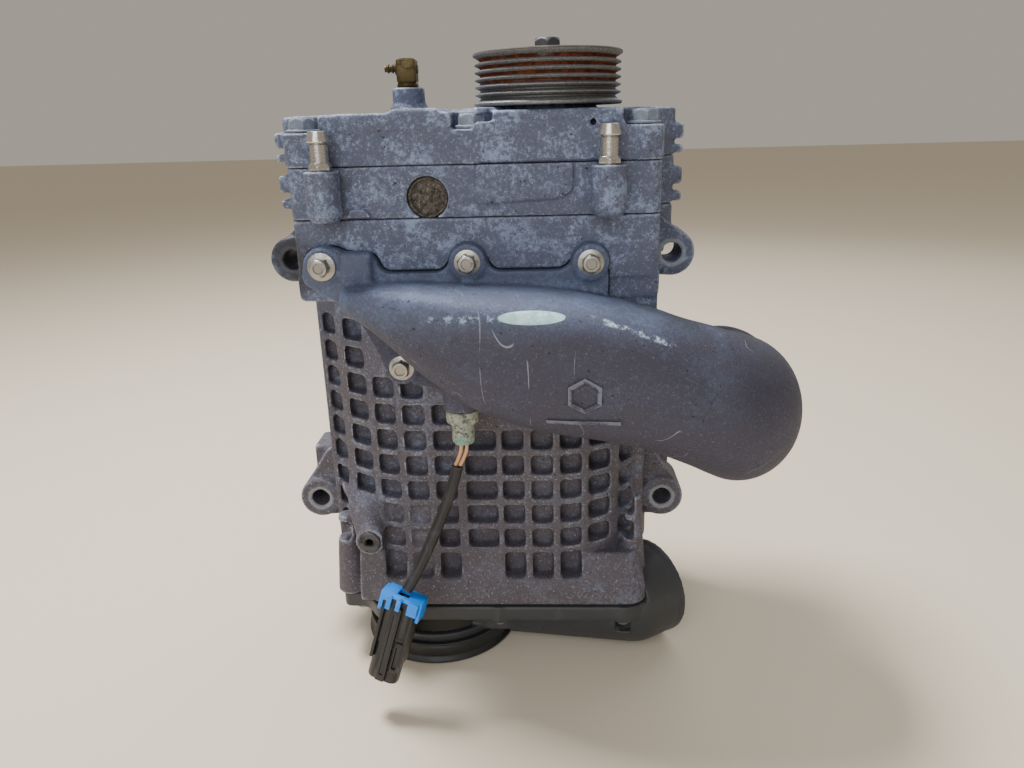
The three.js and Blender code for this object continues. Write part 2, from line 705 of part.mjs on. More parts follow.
const wireR = 0.95;
const sleeveR = 3.1;
const leftWire = [[-8.9, -55.2, 152.4], [-9.2, -55.5, 148], [-10.6, -56.5, 143.6], [-12.4, -57.6, 139.8]];
const rightWire = [[-6, -55.2, 152.4], [-6.3, -55.5, 148], [-7.9, -56.6, 143.6], [-10, -57.8, 139.8]];
const sleeveRoute = [
  [-11.4, -57.9, 139.3], [-12.6, -58.6, 134.6], [-14.2, -59.6, 129.4], [-16.2, -60.9, 123.6],
  [-18.6, -62.4, 117.4], [-21.3, -64.1, 110.8], [-24.3, -66, 104], [-27.5, -68, 97.2],
  [-30.8, -70, 90.6], [-34, -71.9, 84.6], [-37, -73.6, 79.4], [-39.8, -75.1, 75],
];
const plugTop = [-40.6, -75.6, 73.4];
const plugBottom = [-55.6, -80.6, 23.4];

function cord(points, radius, sides) {
  const route = new THREE.CatmullRomCurve3(points.map((point) => new THREE.Vector3(...point)));
  const circle = new THREE.Shape();
  circle.absarc(0, 0, radius, 0, 2 * Math.PI, false);
  const steps = points.length + 3;
  const options = { steps, bevelEnabled: false, curveSegments: sides / 2, extrudePath: route };
  return solidOf(new THREE.ExtrudeGeometry(circle, options));
}

// A box along the line from the top to the bottom of the plug; s runs across it and t towards the front.
function plugBlock(down0, down1, s0, s1, t0, t1) {
  const top = new THREE.Vector3(...plugTop);
  const along = new THREE.Vector3(...plugBottom).sub(top).normalize();
  const across = new THREE.Vector3(0.94, -0.2, 0);
  across.addScaledVector(along, -across.dot(along)).normalize();
  const front = new THREE.Vector3().crossVectors(across, along);
  const geometry = new THREE.BoxGeometry(s1 - s0, t1 - t0, down1 - down0);
  geometry.translate((s0 + s1) / 2, (t0 + t1) / 2, (down0 + down1) / 2);
  geometry.applyMatrix4(new THREE.Matrix4().makeBasis(across, front, along).setPosition(top));
  return solidOf(geometry);
}

function connectorBody() {
  return joined(
    plugBlock(3, 30, -9.5, 9.5, -5.5, 5.5),
    plugBlock(29, 52, -8.6, 8.6, -4.9, 4.9),
    plugBlock(6, 51, -2.2, 2.2, -7.6, 5),
  ).subtract(plugBlock(44, 55, -7, 7, -3.4, 3.4));
}

function connectorLock() {
  return joined(
    plugBlock(0.3, 2.7, -10.5, 10.5, -6, 6),
    plugBlock(0.3, 12, -12, -9.9, -5, 5),
    plugBlock(0.3, 12, 9.9, 12, -5, 5),
  ).subtract(plugBlock(-1, 4, -3, 3, -3, 3));
}

// Pulley and input shaft

function pulley() {
  const rootR = pulleyR - grooveDepth;
  const tipR = pulleyR - 0.8;
  const first = pulleyBottom + flangeWidth;
  const profile = [[skirtR, pulleyBottom], [pulleyR - 0.5, pulleyBottom], [pulleyR, pulleyBottom + 0.6]];
  profile.push([pulleyR, first - 0.4]);
  for (let i = 0; i < grooveCount; i += 1) {
    profile.push([rootR, first + (i + 0.5) * groovePitch]);
    if (i < grooveCount - 1) profile.push([tipR, first + (i + 1) * groovePitch]);
  }
  const webBottom = shaftTop + gap;
  profile.push([pulleyR, pulleyTop - flangeWidth + 0.4], [pulleyR, pulleyTop - 0.6]);
  profile.push([pulleyR - 0.6, pulleyTop]);
  profile.push([shaftBoltR + boltPlay, pulleyTop], [shaftBoltR + boltPlay, webBottom]);
  profile.push([skirtR - 4, webBottom], [skirtR, webBottom - 5], [skirtR, pulleyBottom]);
  return turned(profile, 24, pulleyX, pulleyY);
}

function pulleyBolt() {
  const z = pulleyTop + gap;
  const bottom = shaftTop - shaftBoltDepth + 2;
  return turned([[0, bottom], [shaftBoltR, bottom], [shaftBoltR, z], [7.3, z], [7.5, z + 4.6],
    [6.4, z + 6.4], [0, z + 6.4]], 12, pulleyX, pulleyY);
}

function inputShaft() {
  const bottom = timingZ + timingWidth + 1.4;
  const threadR = shaftBoltR + boltPlay;
  return turned([[0, bottom], [shaftR, bottom], [shaftR, shaftTop], [threadR, shaftTop],
    [threadR, shaftTop - shaftBoltDepth], [0, shaftTop - shaftBoltDepth]], 16, pulleyX, pulleyY);
}

// Gears: straight-flanked teeth; a tooth or a gap is centred on the angle that faces the mate

function gear({ module, teeth, z, width, x, y, facingAngle, gapFirst, bore }) {
  const pitchR = module * teeth / 2;
  const step = 2 * Math.PI / teeth;
  const start = facingAngle + (gapFirst ? step / 2 : 0);
  const half = (Math.PI * module / 2 - gearPlay) / 2;
  const slope = Math.tan(THREE.MathUtils.degToRad(20)) * module;
  const rootR = pitchR - 1.2 * module;
  const tipR = pitchR + 0.85 * module;
  const corners = [[rootR, half + 1.1 * slope], [tipR, half - 0.85 * slope]];
  const shape = new THREE.Shape();
  for (let i = 0; i < teeth; i += 1) {
    const middle = start + i * step;
    const outline = [[corners[0], -1], [corners[1], -1], [corners[1], 1], [corners[0], 1]];
    outline.forEach(([[radius, reach], side], k) => {
      const angle = middle + side * reach / radius;
      const point = [radius * Math.cos(angle), radius * Math.sin(angle)];
      if (i === 0 && k === 0) shape.moveTo(...point);
      else shape.lineTo(...point);
    });
  }
  shape.closePath();
  const disc = new THREE.ExtrudeGeometry(shape, { depth: width, bevelEnabled: false }).translate(x, y, z);
  return solidOf(disc).subtract(rod(bore, z - 1, z + width + 1, x, y, 12));
}

const driveAngle = Math.atan2(rotorY - pulleyY, maleX - pulleyX);
const gears = {
  drive_gear: { module: inputModule, teeth: driveTeeth, z: driveZ, width: driveWidth, x: pulleyX, y: pulleyY,
    facingAngle: driveAngle, gapFirst: false, bore: shaftR + gap },
  pinion: { module: inputModule, teeth: pinionTeeth, z: driveZ, width: driveWidth, x: maleX, y: rotorY,
    facingAngle: driveAngle + Math.PI, gapFirst: true, bore: 8 + gap },
  male_timing_gear: { module: timingModule, teeth: timingTeethMale, z: timingZ, width: timingWidth, x: maleX,
    y: rotorY, facingAngle: Math.PI, gapFirst: false, bore: 8 + gap },
  female_timing_gear: { module: timingModule, teeth: timingTeethFemale, z: timingZ, width: timingWidth,
    x: femaleX, y: rotorY, facingAngle: 0, gapFirst: true, bore: 8 + gap },
};

// Rotors

const maleLobes = 3;
const femaleLobes = 5;
const lobeRootR = 26.4;
const lobeTipR = boreR - rotorPlay;
const femaleTipR = boreR - rotorPlay;
const maleWrap = THREE.MathUtils.degToRad(300);

function maleRadius(angle) {
  const wave = 0.5 + 0.5 * Math.cos(maleLobes * angle);
  return lobeRootR + (lobeTipR - lobeRootR) * wave ** 0.8;
}

// Female outline: what is left of a disc after the male screw has rolled past every point of it.
function femaleRadii(samples) {
  const radii = new Array(samples).fill(femaleTipR);
  const flute = 2 * Math.PI / femaleLobes;
  const turns = 240;
  const points = 360;
  for (let i = 0; i < turns; i += 1) {
    const maleTurn = (i / turns - 0.5) * 2 * Math.PI / maleLobes;
    const femaleTurn = -maleTurn * maleLobes / femaleLobes;
    for (let k = 0; k < points; k += 1) {
      const angle = k / points * 2 * Math.PI;
      const radius = maleRadius(angle - Math.PI);
      const x = rotorCentres + radius * Math.cos(angle + maleTurn);
      const y = radius * Math.sin(angle + maleTurn);
      const distance = Math.hypot(x, y);
      if (distance > femaleTipR + 2) continue;
      const around = Math.atan2(y, x) - femaleTurn;
      const within = ((around % flute) + flute) % flute;
      const slot = Math.round(within / flute * samples) % samples;
      radii[slot] = Math.min(radii[slot], distance - rotorPlay);
    }
  }
  return radii;
}

function screw(outline, wrap, steps) {
  const shape = new THREE.Shape(outline.map(([x, y]) => new THREE.Vector2(x, y)));
  const length = rotorTop - rotorBottom;
  const geometry = new THREE.ExtrudeGeometry(shape, { depth: length, steps, bevelEnabled: false });
  const place = geometry.getAttribute('position');
  for (let i = 0; i < place.count; i += 1) {
    const angle = place.getZ(i) / length * wrap;
    const [x, y] = [place.getX(i), place.getY(i)];
    place.setXY(i, x * Math.cos(angle) - y * Math.sin(angle), x * Math.sin(angle) + y * Math.cos(angle));
  }
  return solidOf(geometry.translate(0, 0, rotorBottom));
}

function rotorShaft(top) {
  return turned([[0, housingBottom + 3], [8.5, housingBottom + 3], [8.5, lowerBearingZ + lowerBearing.height],
    [12, lowerBearingZ + lowerBearing.height + 0.6], [12, plateBottom + 1.6], [10.7, bearingPocketZ - 0.4],
    [10.7, timingZ - 1.2], [8, timingZ - 0.8], [8, top], [0, top]], 12);
}

function maleRotor() {
  const count = 30;
  const outline = Array.from({ length: count }, (_, i) => {
    const angle = i / count * 2 * Math.PI;
    const radius = maleRadius(angle - Math.PI);
    return [radius * Math.cos(angle), radius * Math.sin(angle)];
  });
  const shaft = rotorShaft(driveZ + driveWidth + 0.8);
  return joined(screw(outline, maleWrap, 13), shaft).translate([maleX, rotorY, 0]);
}

function femaleRotor() {
  const samples = 9;
  const radii = femaleRadii(samples);
  const count = samples * femaleLobes;
  const outline = Array.from({ length: count }, (_, i) => {
    const angle = i / count * 2 * Math.PI;
    return [radii[i % samples] * Math.cos(angle), radii[i % samples] * Math.sin(angle)];
  });
  const wrap = -maleWrap * maleLobes / femaleLobes;
  const shaft = rotorShaft(timingZ + timingWidth + 0.8);
  return joined(screw(outline, wrap, 8), shaft).translate([femaleX, rotorY, 0]);
}

// Bearings, each one ring

function bearing({ inner, outer, height }, z, x, y) {
  return ring(inner, outer, z, z + height, x, y);
}

// Assembly

put('rotor_housing', 'casting', rotorHousing());
put('gear_plate', 'casting', gearPlate());
put('gear_cover', 'casting', gearCover());
put('outlet_duct', 'darkCasting', outletDuct());
put('duct_gasket', 'fibre', ductSeal());
put('intake_housing', 'blackPlastic', intakeHousing());
put('intake_gasket', 'rubber', intakeGasket());
put('intake_ring', 'rubber', intakeRing());
put('core_plug', 'rust', corePlug());
put('hose_barb_left', 'nickel', hoseBarb(barbPlaces[0]));
put('hose_barb_right', 'nickel', hoseBarb(barbPlaces[1]));
put('oil_elbow', 'brass', oilElbow());
put('port_insert', 'steel', portInsert());
put('temperature_sensor', 'sensorMetal', temperatureSensor());
put('sensor_wire_left', 'tanWire', cord(leftWire, wireR, 8));
put('sensor_wire_right', 'tanWire', cord(rightWire, wireR, 8));
put('cable_sleeve', 'rubber', cord(sleeveRoute, sleeveR, 8));
put('connector_body', 'blackPlastic', connectorBody());
put('connector_lock', 'bluePlastic', connectorLock());

ductBolts.forEach(([x, z], i) => {
  const dip = i === 0 ? 0 : 1.5;
  const seat = seatY - ductGasket - 2 * gap - ductFlange - gap - 1.5 + dip;
  put(`duct_bolt_${i + 1}`, 'zinc', facing(bolt(ductBolt), [90, 0, 0], x, seat, z));
});
coverBolts.forEach(([x, y], i) => {
  put(`cover_bolt_${i + 1}`, 'zinc', facing(bolt(caseBolt), [0, 0, 0], x, y, seatZ + gap));
});
screwPlaces.forEach(([x, y], i) => {
  put(`intake_screw_${i + 1}`, 'zinc', facing(bolt(trayScrew), [180, 0, 0], x, y, tubTop - 9.5 - gap));
});

put('pulley', 'pulleySteel', pulley());
put('pulley_bolt', 'steel', pulleyBolt());
put('input_shaft', 'steel', inputShaft());
Object.entries(gears).forEach(([name, sizes]) => put(name, 'steel', gear(sizes)));
put('male_rotor', 'steel', maleRotor());
put('female_rotor', 'steel', femaleRotor());

[['male', maleX], ['female', femaleX]].forEach(([name, x]) => {
  put(`${name}_lower_bearing`, 'steel', bearing(lowerBearing, lowerBearingZ, x, rotorY));
  put(`${name}_upper_bearing`, 'steel', bearing(upperBearing, bearingPocketZ + gap, x, rotorY));
});
put('input_lower_bearing', 'steel', bearing(inputBearing, caseInsideTop + 0.8, pulleyX, pulleyY));
put('input_upper_bearing', 'steel', bearing(inputBearing, noseTop - 16, pulleyX, pulleyY));
put('shaft_seal', 'rubber',
  ring(shaftR + gap, inputBearing.outer, noseTop - 5.4, noseTop - 1.4, pulleyX, pulleyY));
dowelPlaces.forEach(([x, y], i) => {
  put(`dowel_pin_${i + 1}`, 'steel', rod(3, housingTop - 7, plateBottom + 6, x, y, 8));
});

// The origin is the middle of the underside, worked out without the loose cable
const cableNames = [
  'sensor_wire_left', 'sensor_wire_right', 'cable_sleeve', 'connector_body', 'connector_lock',
];
const fixed = group.children.filter((mesh) => !cableNames.includes(mesh.name));
const extent = new THREE.Box3();
fixed.forEach((mesh) => extent.expandByObject(mesh));
group.position.set(-(extent.min.x + extent.max.x) / 2, -(extent.min.y + extent.max.y) / 2, -extent.min.z);

export default group;
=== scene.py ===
# Twin-screw supercharger, in metres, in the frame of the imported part.
import math
import bmesh
import bpy
from mathutils import Matrix, Vector


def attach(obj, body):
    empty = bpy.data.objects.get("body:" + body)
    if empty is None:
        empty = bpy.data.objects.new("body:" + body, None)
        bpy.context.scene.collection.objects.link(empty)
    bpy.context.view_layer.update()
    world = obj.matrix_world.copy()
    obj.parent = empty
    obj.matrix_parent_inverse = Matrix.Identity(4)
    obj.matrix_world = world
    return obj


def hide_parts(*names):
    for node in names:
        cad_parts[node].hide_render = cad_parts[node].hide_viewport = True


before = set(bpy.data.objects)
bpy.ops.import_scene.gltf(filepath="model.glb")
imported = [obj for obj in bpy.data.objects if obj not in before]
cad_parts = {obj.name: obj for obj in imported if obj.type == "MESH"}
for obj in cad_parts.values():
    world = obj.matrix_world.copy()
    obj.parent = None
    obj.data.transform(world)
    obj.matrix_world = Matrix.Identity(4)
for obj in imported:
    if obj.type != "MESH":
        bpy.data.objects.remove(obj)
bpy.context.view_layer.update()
pi = math.pi
casingShift = (26.75, 0.5)  # from the casing's own drawing, in mm, to the frame


def at(x, y, z):  # drawing millimetres to frame metres
    return Vector(((x - casingShift[0]) / 1000, (y - casingShift[1]) / 1000, z / 1000))


# ---- camera
cameraPlace = {"spot": (37.171, -427.0, 310.873), "turn": -2.854, "dip": 18.799, "roll": 1.567, "lens": 27.04}


def addCamera():
    turn, dip, roll = (math.radians(cameraPlace[k]) for k in ("turn", "dip", "roll"))
    ahead = Vector((math.sin(turn) * math.cos(dip), math.cos(turn) * math.cos(dip), -math.sin(dip)))
    level = Vector((math.cos(turn), -math.sin(turn), 0))
    upward = level.cross(ahead)
    right = level * math.cos(roll) - upward * math.sin(roll)
    above = level * math.sin(roll) + upward * math.cos(roll)
    data = bpy.data.cameras.new("camera")
    data.lens = cameraPlace["lens"]
    camera = bpy.data.objects.new("camera", data)
    bpy.context.scene.collection.objects.link(camera)
    facing = Matrix((right, above, -ahead)).transposed().to_4x4()
    camera.matrix_world = Matrix.Translation(at(*cameraPlace["spot"])) @ facing
    bpy.context.scene.camera = camera


addCamera()
print("camera ready")


# ---- shader helpers
def tint(red, green, blue):  # display colour 0 to 255, made linear
    def linear(value):
        value /= 255
        return value / 12.92 if value <= 0.04045 else ((value + 0.055) / 1.055) ** 2.4
    return (linear(red), linear(green), linear(blue), 1.0)


class Signal:
    def __init__(self, finish, socket):
        self.finish = finish
        self.socket = socket

    def calc(self, operation, other, swapped=False):
        pair = [other, self] if swapped else [self, other]
        return self.finish.node("ShaderNodeMath", {"operation": operation}, pair)

    def __add__(self, other):
        return self.calc("ADD", other)

    def __sub__(self, other):
        return self.calc("SUBTRACT", other)

    def __rsub__(self, other):
        return self.calc("SUBTRACT", other, True)

    def __mul__(self, other):
        return self.calc("MULTIPLY", other)

    __radd__ = __add__
    __rmul__ = __mul__


class Finish:
    def __init__(self, name, roughness=0.5, metallic=0.0):
        self.material = bpy.data.materials.new(name)
        self.material.use_nodes = True
        self.tree = self.material.node_tree
        self.shader = self.tree.nodes["Principled BSDF"]
        self.shader.inputs["Roughness"].default_value = roughness
        self.shader.inputs["Metallic"].default_value = metallic
        self.place = self.node("ShaderNodeTexCoord", {}, {}, "Object")

    def node(self, kind, settings, inputs, output=0):
        made = self.tree.nodes.new(kind)
        for key, value in settings.items():
            setattr(made, key, value)
        pairs = inputs.items() if isinstance(inputs, dict) else enumerate(inputs)
        for key, value in pairs:
            if isinstance(value, Signal):
                self.tree.links.new(value.socket, made.inputs[key])
            else:
                made.inputs[key].default_value = value
        return Signal(self, made.outputs[output])

    def stretched(self, scale, shift=(0, 0, 0)):
        return self.node("ShaderNodeMapping", {}, {"Vector": self.place, "Scale": scale, "Location": shift})

    def noise(self, scale, detail=4.0, rough=0.55, place=None, distortion=0.0):
        inputs = {"Vector": place or self.place, "Scale": scale, "Detail": detail, "Roughness": rough,
                  "Distortion": distortion}
        return self.node("ShaderNodeTexNoise", {}, inputs)

    def ramp(self, value, low, high):  # 0 at low, 1 at high, smooth between
        settings = {"interpolation_type": "SMOOTHSTEP"}
        return self.node("ShaderNodeMapRange", settings, {"Value": value, "From Min": low, "From Max": high})

    def mix(self, share, first, second):
        settings = {"data_type": "RGBA"}
        return self.node("ShaderNodeMix", settings, {0: share, 6: first, 7: second}, 2)

    def axis(self, name):
        return self.node("ShaderNodeSeparateXYZ", {}, {0: self.place}, name)

    def facingUp(self):
        normal = self.node("ShaderNodeNewGeometry", {}, {}, "Normal")
        return self.node("ShaderNodeSeparateXYZ", {}, {0: normal}, "Z")

    def edges(self):
        return self.node("ShaderNodeNewGeometry", {}, {}, "Pointiness")

    def wear(self, colour, roughness, relief, depth):
        self.tree.links.new(colour.socket, self.shader.inputs["Base Color"])
        self.tree.links.new(roughness.socket, self.shader.inputs["Roughness"])
        bump = self.node("ShaderNodeBump", {}, {"Height": relief, "Distance": depth, "Strength": 1.0})
        self.tree.links.new(bump.socket, self.shader.inputs["Normal"])
        return self.material


# ---- finishes
def castFinish(name, look):
    finish = Finish(name, metallic=look["metallic"])
    height = finish.axis("Z")
    broad = finish.noise(11, 5, 0.6)
    powder = finish.noise(look["powderScale"], 12, 0.78, distortion=0.25)
    grain = finish.noise(900, 3, 0.6)
    fine = finish.noise(2600, 2, 0.5)
    grit = finish.noise(480, 6, 0.78)
    upper = finish.ramp(height, look["oxideFrom"], look["oxideTo"])
    colour = finish.mix(finish.ramp(broad * 0.6 + upper * 0.45, 0.30, 0.72), look["low"], look["high"])
    rich = finish.ramp(broad + upper * 0.12, 0.42, 0.66)
    oxide = finish.ramp(powder * 0.62 + grit * 0.5 + finish.facingUp() * 0.03, 0.545, 0.66)
    colour = finish.mix(oxide * (rich * 0.7 + 0.3) * (upper * 0.55 + 0.45) * look["oxide"], colour,
                        look["powder"])
    colour = finish.mix(finish.ramp(grain, 0.58, 0.74) * look["speck"], colour, look["pale"])
    colour = finish.mix(finish.ramp(finish.noise(520, 2, 0.5), 0.31, 0.23), colour, look["dark"])
    pits = finish.ramp(finish.noise(330, 3, 0.6, finish.stretched((1, 1, 1), (4, 2, 7))), 0.31, 0.27)
    colour = finish.mix(pits * 0.85, colour, look["dark"])
    edge = finish.edges()
    # painted shade: hollows and creases (low pointiness) darkened towards the dark colour
    colour = finish.mix(finish.ramp(edge, 0.49, 0.42) * 0.8, colour, look["dark"])
    worn = finish.ramp(edge + grain * 0.06, 0.55, 0.61) * look["edge"]
    colour = finish.mix(worn, colour, look["pale"])
    roughness = 0.74 - finish.ramp(grain, 0.35, 0.7) * 0.16 - worn * 0.1
    if look["marks"]:
        colour, roughness = look["marks"](finish, colour, roughness)
    relief = grain * 1.0 + fine * 0.35 + powder * 1.2 - pits * 1.1
    return finish.wear(colour, roughness, relief=relief, depth=0.00032)


def within(finish, value, middle, half, soft):  # 1 inside middle plus or minus half, fading over soft
    away = finish.node("ShaderNodeMath", {"operation": "ABSOLUTE"}, {0: value - middle})
    return finish.ramp(away, half + soft, half)


def ductMarks(finish, colour, roughness):  # bare patch on the ridge, scuffs beyond it, hair scratches
    x, lean = finish.axis("X"), finish.axis("Z") * 0.947 + finish.axis("Y") * 0.322
    ragged = finish.noise(260, 5, 0.7)
    across, along = (lean - 0.18645) * 294, (x - 0.00325) * 65
    patch = finish.ramp(across * across + along * along + ragged * 0.3, 1.22, 1.08)
    slope = lean + (x - 0.035) * 0.336
    scuff = within(finish, slope, 0.1849, 0.0005, 0.0016) * within(finish, x, 0.05, 0.014, 0.008)
    scuff = scuff * finish.ramp(finish.noise(170, 8, 0.8), 0.47, 0.60)
    rub = within(finish, lean, 0.1862, 0.0008, 0.002) * within(finish, x, -0.022, 0.018, 0.012)
    rub = rub * finish.ramp(finish.noise(240, 8, 0.8), 0.50, 0.62) * 0.8
    hairs = within(finish, finish.noise(34, 1, 0.4, finish.stretched((1, 1, 0.22))), 0.5, 0.0006, 0.002)
    hairs = hairs * finish.ramp(finish.noise(42, 3, 0.5, finish.stretched((1, 1, 1), (3, 8, 1))), 0.53,
                                0.60) * 0.55
    colour = finish.mix(hairs, colour, tint(176, 178, 190))
    colour = finish.mix(rub, colour, tint(176, 200, 226))
    colour = finish.mix(scuff, colour, tint(198, 218, 238))
    bare = finish.mix(finish.ramp(ragged, 0.35, 0.62), tint(150, 196, 204), tint(196, 226, 228))
    return finish.mix(patch, colour, bare), roughness - patch * 0.2


def caseMarks(finish, colour, roughness):  # bright seats round the ear holes, oil on the upper left ear
    x, z = finish.axis("X") + 0.02675, finish.axis("Z")
    side = finish.node("ShaderNodeMath", {"operation": "ABSOLUTE"}, {0: x}) - 0.1058
    front = finish.ramp(finish.axis("Y"), 0.0012, 0.0004)
    blot = finish.noise(170, 5, 0.7)
    for level in (0.0914, 0.2406):
        up = z - level
        reach = (side * side + up * up) * 1e6
        ring = finish.ramp(reach + blot * 40, 92, 70) * front * 0.5
        colour = finish.mix(ring, colour, tint(168, 172, 180))
    up, out = z - 0.244, x + 0.101
    oil = finish.ramp((up * up + out * out) * 1e6 + blot * 500, 760, 420) * 0.85
    oil = oil * finish.ramp(finish.axis("Y") + blot * 0.012, 0.036, 0.026)
    return finish.mix(oil, colour, tint(26, 27, 32)), roughness - oil * 0.25


castLook = {
    "metallic": 0.2, "powderScale": 60, "oxideFrom": 0.15, "oxideTo": 0.26, "oxide": 0.72, "speck": 0.45,
    "edge": 0.7,
    "low": tint(84, 80, 92), "high": tint(86, 92, 114), "powder": tint(146, 163, 196),
    "pale": tint(186, 194, 210), "dark": tint(38, 38, 46), "marks": None,
}
caseLook = {**castLook, "marks": caseMarks, "low": tint(84, 79, 87)}
ductLook = {
    "metallic": 0.2, "powderScale": 48, "oxideFrom": 0.205, "oxideTo": 0.235, "oxide": 0.42, "speck": 0.2,
    "edge": 0.35,
    "low": tint(64, 63, 79), "high": tint(80, 88, 112), "powder": tint(112, 132, 170),
    "pale": tint(156, 164, 182), "dark": tint(30, 30, 38), "marks": ductMarks,
}


def metalFinish(name, base, dirtAndShade, roughness, dirtShare=0.4, grainScale=900, metallic=0.9, depth=0.00008):
    finish = Finish(name, metallic=metallic)
    spots = finish.noise(190, 6, 0.65)
    grain = finish.noise(grainScale, 3, 0.6)
    share = finish.ramp(spots + grain * 0.25, 0.62, 0.82) * dirtShare
    colour = finish.mix(share, base, dirtAndShade)
    # painted shade: hollows (low pointiness) pulled towards the dirt colour; on the painted bolts that colour
    # is pale powder in the hollows instead
    hollow = finish.ramp(finish.edges(), 0.49, 0.40)
    colour = finish.mix(hollow * 0.8, colour, dirtAndShade)
    return finish.wear(colour, roughness + grain * 0.18 + share * 0.3, relief=grain + spots, depth=depth)


def plasticFinish(name, base, scuff, roughness, grainScale=1500, depth=0.00005):
    finish = Finish(name)
    grain = finish.noise(grainScale, 2, 0.5)
    dust = finish.noise(60, 7, 0.7)
    marks = finish.noise(120, 4, 0.6, finish.stretched((1, 1, 0.15)))
    colour = finish.mix(finish.ramp(dust, 0.5, 0.75) * 0.3, base, scuff)
    colour = finish.mix(finish.ramp(marks, 0.66, 0.72) * 0.35, colour, scuff)
    colour = finish.mix(finish.ramp(finish.edges(), 0.53, 0.62) * 0.35, colour, scuff)
    return finish.wear(colour, roughness + finish.ramp(dust, 0.35, 0.75) * 0.22, relief=grain + dust * 0.6,
                       depth=depth)


def pulleyFinish():  # brown rust in the upper grooves, clean grey below, and painted shade darkening every groove
    finish = Finish("pulleySteel", metallic=0.75)
    height = finish.axis("Z")
    blot = finish.noise(70, 6, 0.7)
    grain = finish.noise(1100, 3, 0.6, finish.stretched((1, 1, 4)))
    zone = finish.ramp(height + blot * 0.006, 0.3305, 0.3335)
    hollow = finish.ramp(finish.edges() - grain * 0.02, 0.50, 0.46)
    rust = finish.mix(finish.ramp(finish.noise(260, 5, 0.7), 0.4, 0.65), tint(86, 42, 26), tint(138, 74, 44))
    steel = finish.mix(finish.ramp(grain, 0.4, 0.65), tint(96, 97, 100), tint(146, 147, 148))
    # painted shade: the grooves (low pointiness) darkened towards a dark grey
    colour = finish.mix(hollow * 0.6, steel, tint(52, 52, 56))
    colour = finish.mix(zone * finish.ramp(blot * 0.7 + hollow * 0.5, 0.40, 0.62), colour, rust)
    top = finish.ramp(height, 0.3428, 0.3432)
    colour = finish.mix(top * finish.ramp(blot, 0.25, 0.5), colour, tint(98, 92, 86))
    return finish.wear(colour, 0.42 + zone * 0.3 + grain * 0.15, relief=grain + blot, depth=0.00008)


def sensorFinish():  # crusted plating with a mint patina low down
    finish = Finish("sensorMetal", metallic=0.25)
    crust = finish.noise(420, 8, 0.75, distortion=0.6)
    colour = finish.mix(finish.ramp(crust, 0.36, 0.56), tint(58, 62, 52), tint(164, 170, 158))
    colour = finish.mix(finish.ramp(crust, 0.60, 0.70), colour, tint(226, 228, 218))
    mint = finish.ramp(finish.axis("Z"), 0.160, 0.153) * finish.ramp(finish.noise(160, 4, 0.6), 0.42, 0.6)
    colour = finish.mix(mint, colour, tint(122, 172, 158))
    return finish.wear(colour, 0.7 + crust * 0.2, relief=crust, depth=0.0006)


def rustFinish(name, dark, pale, depth):
    finish = Finish(name, metallic=0.3)
    crust = finish.noise(380, 8, 0.72)
    colour = finish.mix(finish.ramp(crust, 0.36, 0.62), dark, pale)
    colour = finish.mix(finish.ramp(finish.noise(900, 2, 0.5), 0.60, 0.70) * 0.6, colour, tint(160, 150, 132))
    return finish.wear(colour, 0.75 + crust * 0.2, relief=crust, depth=depth)


finishes = {
    "castCoat": castFinish("castCoat", castLook),
    "caseCoat": castFinish("caseCoat", caseLook),
    "ductCoat": castFinish("ductCoat", ductLook),
    "zincPlate": metalFinish("zincPlate", tint(166, 164, 158), tint(96, 90, 80), 0.22, 0.6),
    "paintedBolt": metalFinish("paintedBolt", tint(120, 130, 146), tint(176, 186, 200), 0.55, 0.8,
                               metallic=0.3, depth=0.0002),
    "nickelPlate": metalFinish("nickelPlate", tint(198, 195, 188), tint(112, 106, 92), 0.14, 0.35),
    "agedBrass": metalFinish("agedBrass", tint(84, 73, 48), tint(30, 27, 22), 0.38, 0.9),
    "darkSteel": metalFinish("darkSteel", tint(88, 88, 92), tint(40, 38, 38), 0.45, 0.7, depth=0.0002),
    "groundSteel": metalFinish("groundSteel", tint(176, 177, 180), tint(120, 120, 122), 0.25, 0.2),
    "rotorCoat": metalFinish("rotorCoat", tint(168, 170, 174), tint(118, 120, 126), 0.35, 0.3),
    "plugRust": rustFinish("plugRust", tint(50, 47, 45), tint(104, 97, 90), 0.0005),
    "pulleySteel": pulleyFinish(),
    "sensorMetal": sensorFinish(),
    "tubPlastic": plasticFinish("tubPlastic", tint(52, 54, 58), tint(96, 98, 104), 0.42),
    "ringRubber": plasticFinish("ringRubber", tint(34, 35, 37), tint(70, 72, 76), 0.38),
    "plugPlastic": plasticFinish("plugPlastic", tint(28, 29, 32), tint(84, 86, 92), 0.34),
    "lockPlastic": plasticFinish("lockPlastic", tint(0, 136, 250), tint(70, 176, 255), 0.30),
    "sleeveVinyl": plasticFinish("sleeveVinyl", tint(32, 32, 35), tint(104, 104, 108), 0.36),
    "wireTan": plasticFinish("wireTan", tint(214, 164, 118), tint(150, 104, 70), 0.42),
    "gasketFibre": plasticFinish("gasketFibre", tint(40, 40, 43), tint(70, 70, 74), 0.7),
}
print("finishes ready", len(finishes))


# ---- modelling helpers
def nothingSelected():
    bpy.ops.object.select_all(action="DESELECT")


def only(piece):
    nothingSelected()
    piece.select_set(True)
    bpy.context.view_layer.objects.active = piece


def settled(name):
    piece = bpy.context.object
    piece.name = name
    bpy.ops.object.transform_apply(location=True, rotation=True, scale=True)
    return piece


def applied(piece, kind, **settings):
    only(piece)
    modifier = piece.modifiers.new("step", kind)
    for key, value in settings.items():
        setattr(modifier, key, value)
    bpy.ops.object.modifier_apply(modifier=modifier.name)
    return piece


def rounded(piece, width, segments=2, angle=30):
    return applied(piece, "BEVEL", width=width / 1000, segments=segments, limit_method="ANGLE",
                   angle_limit=math.radians(angle))


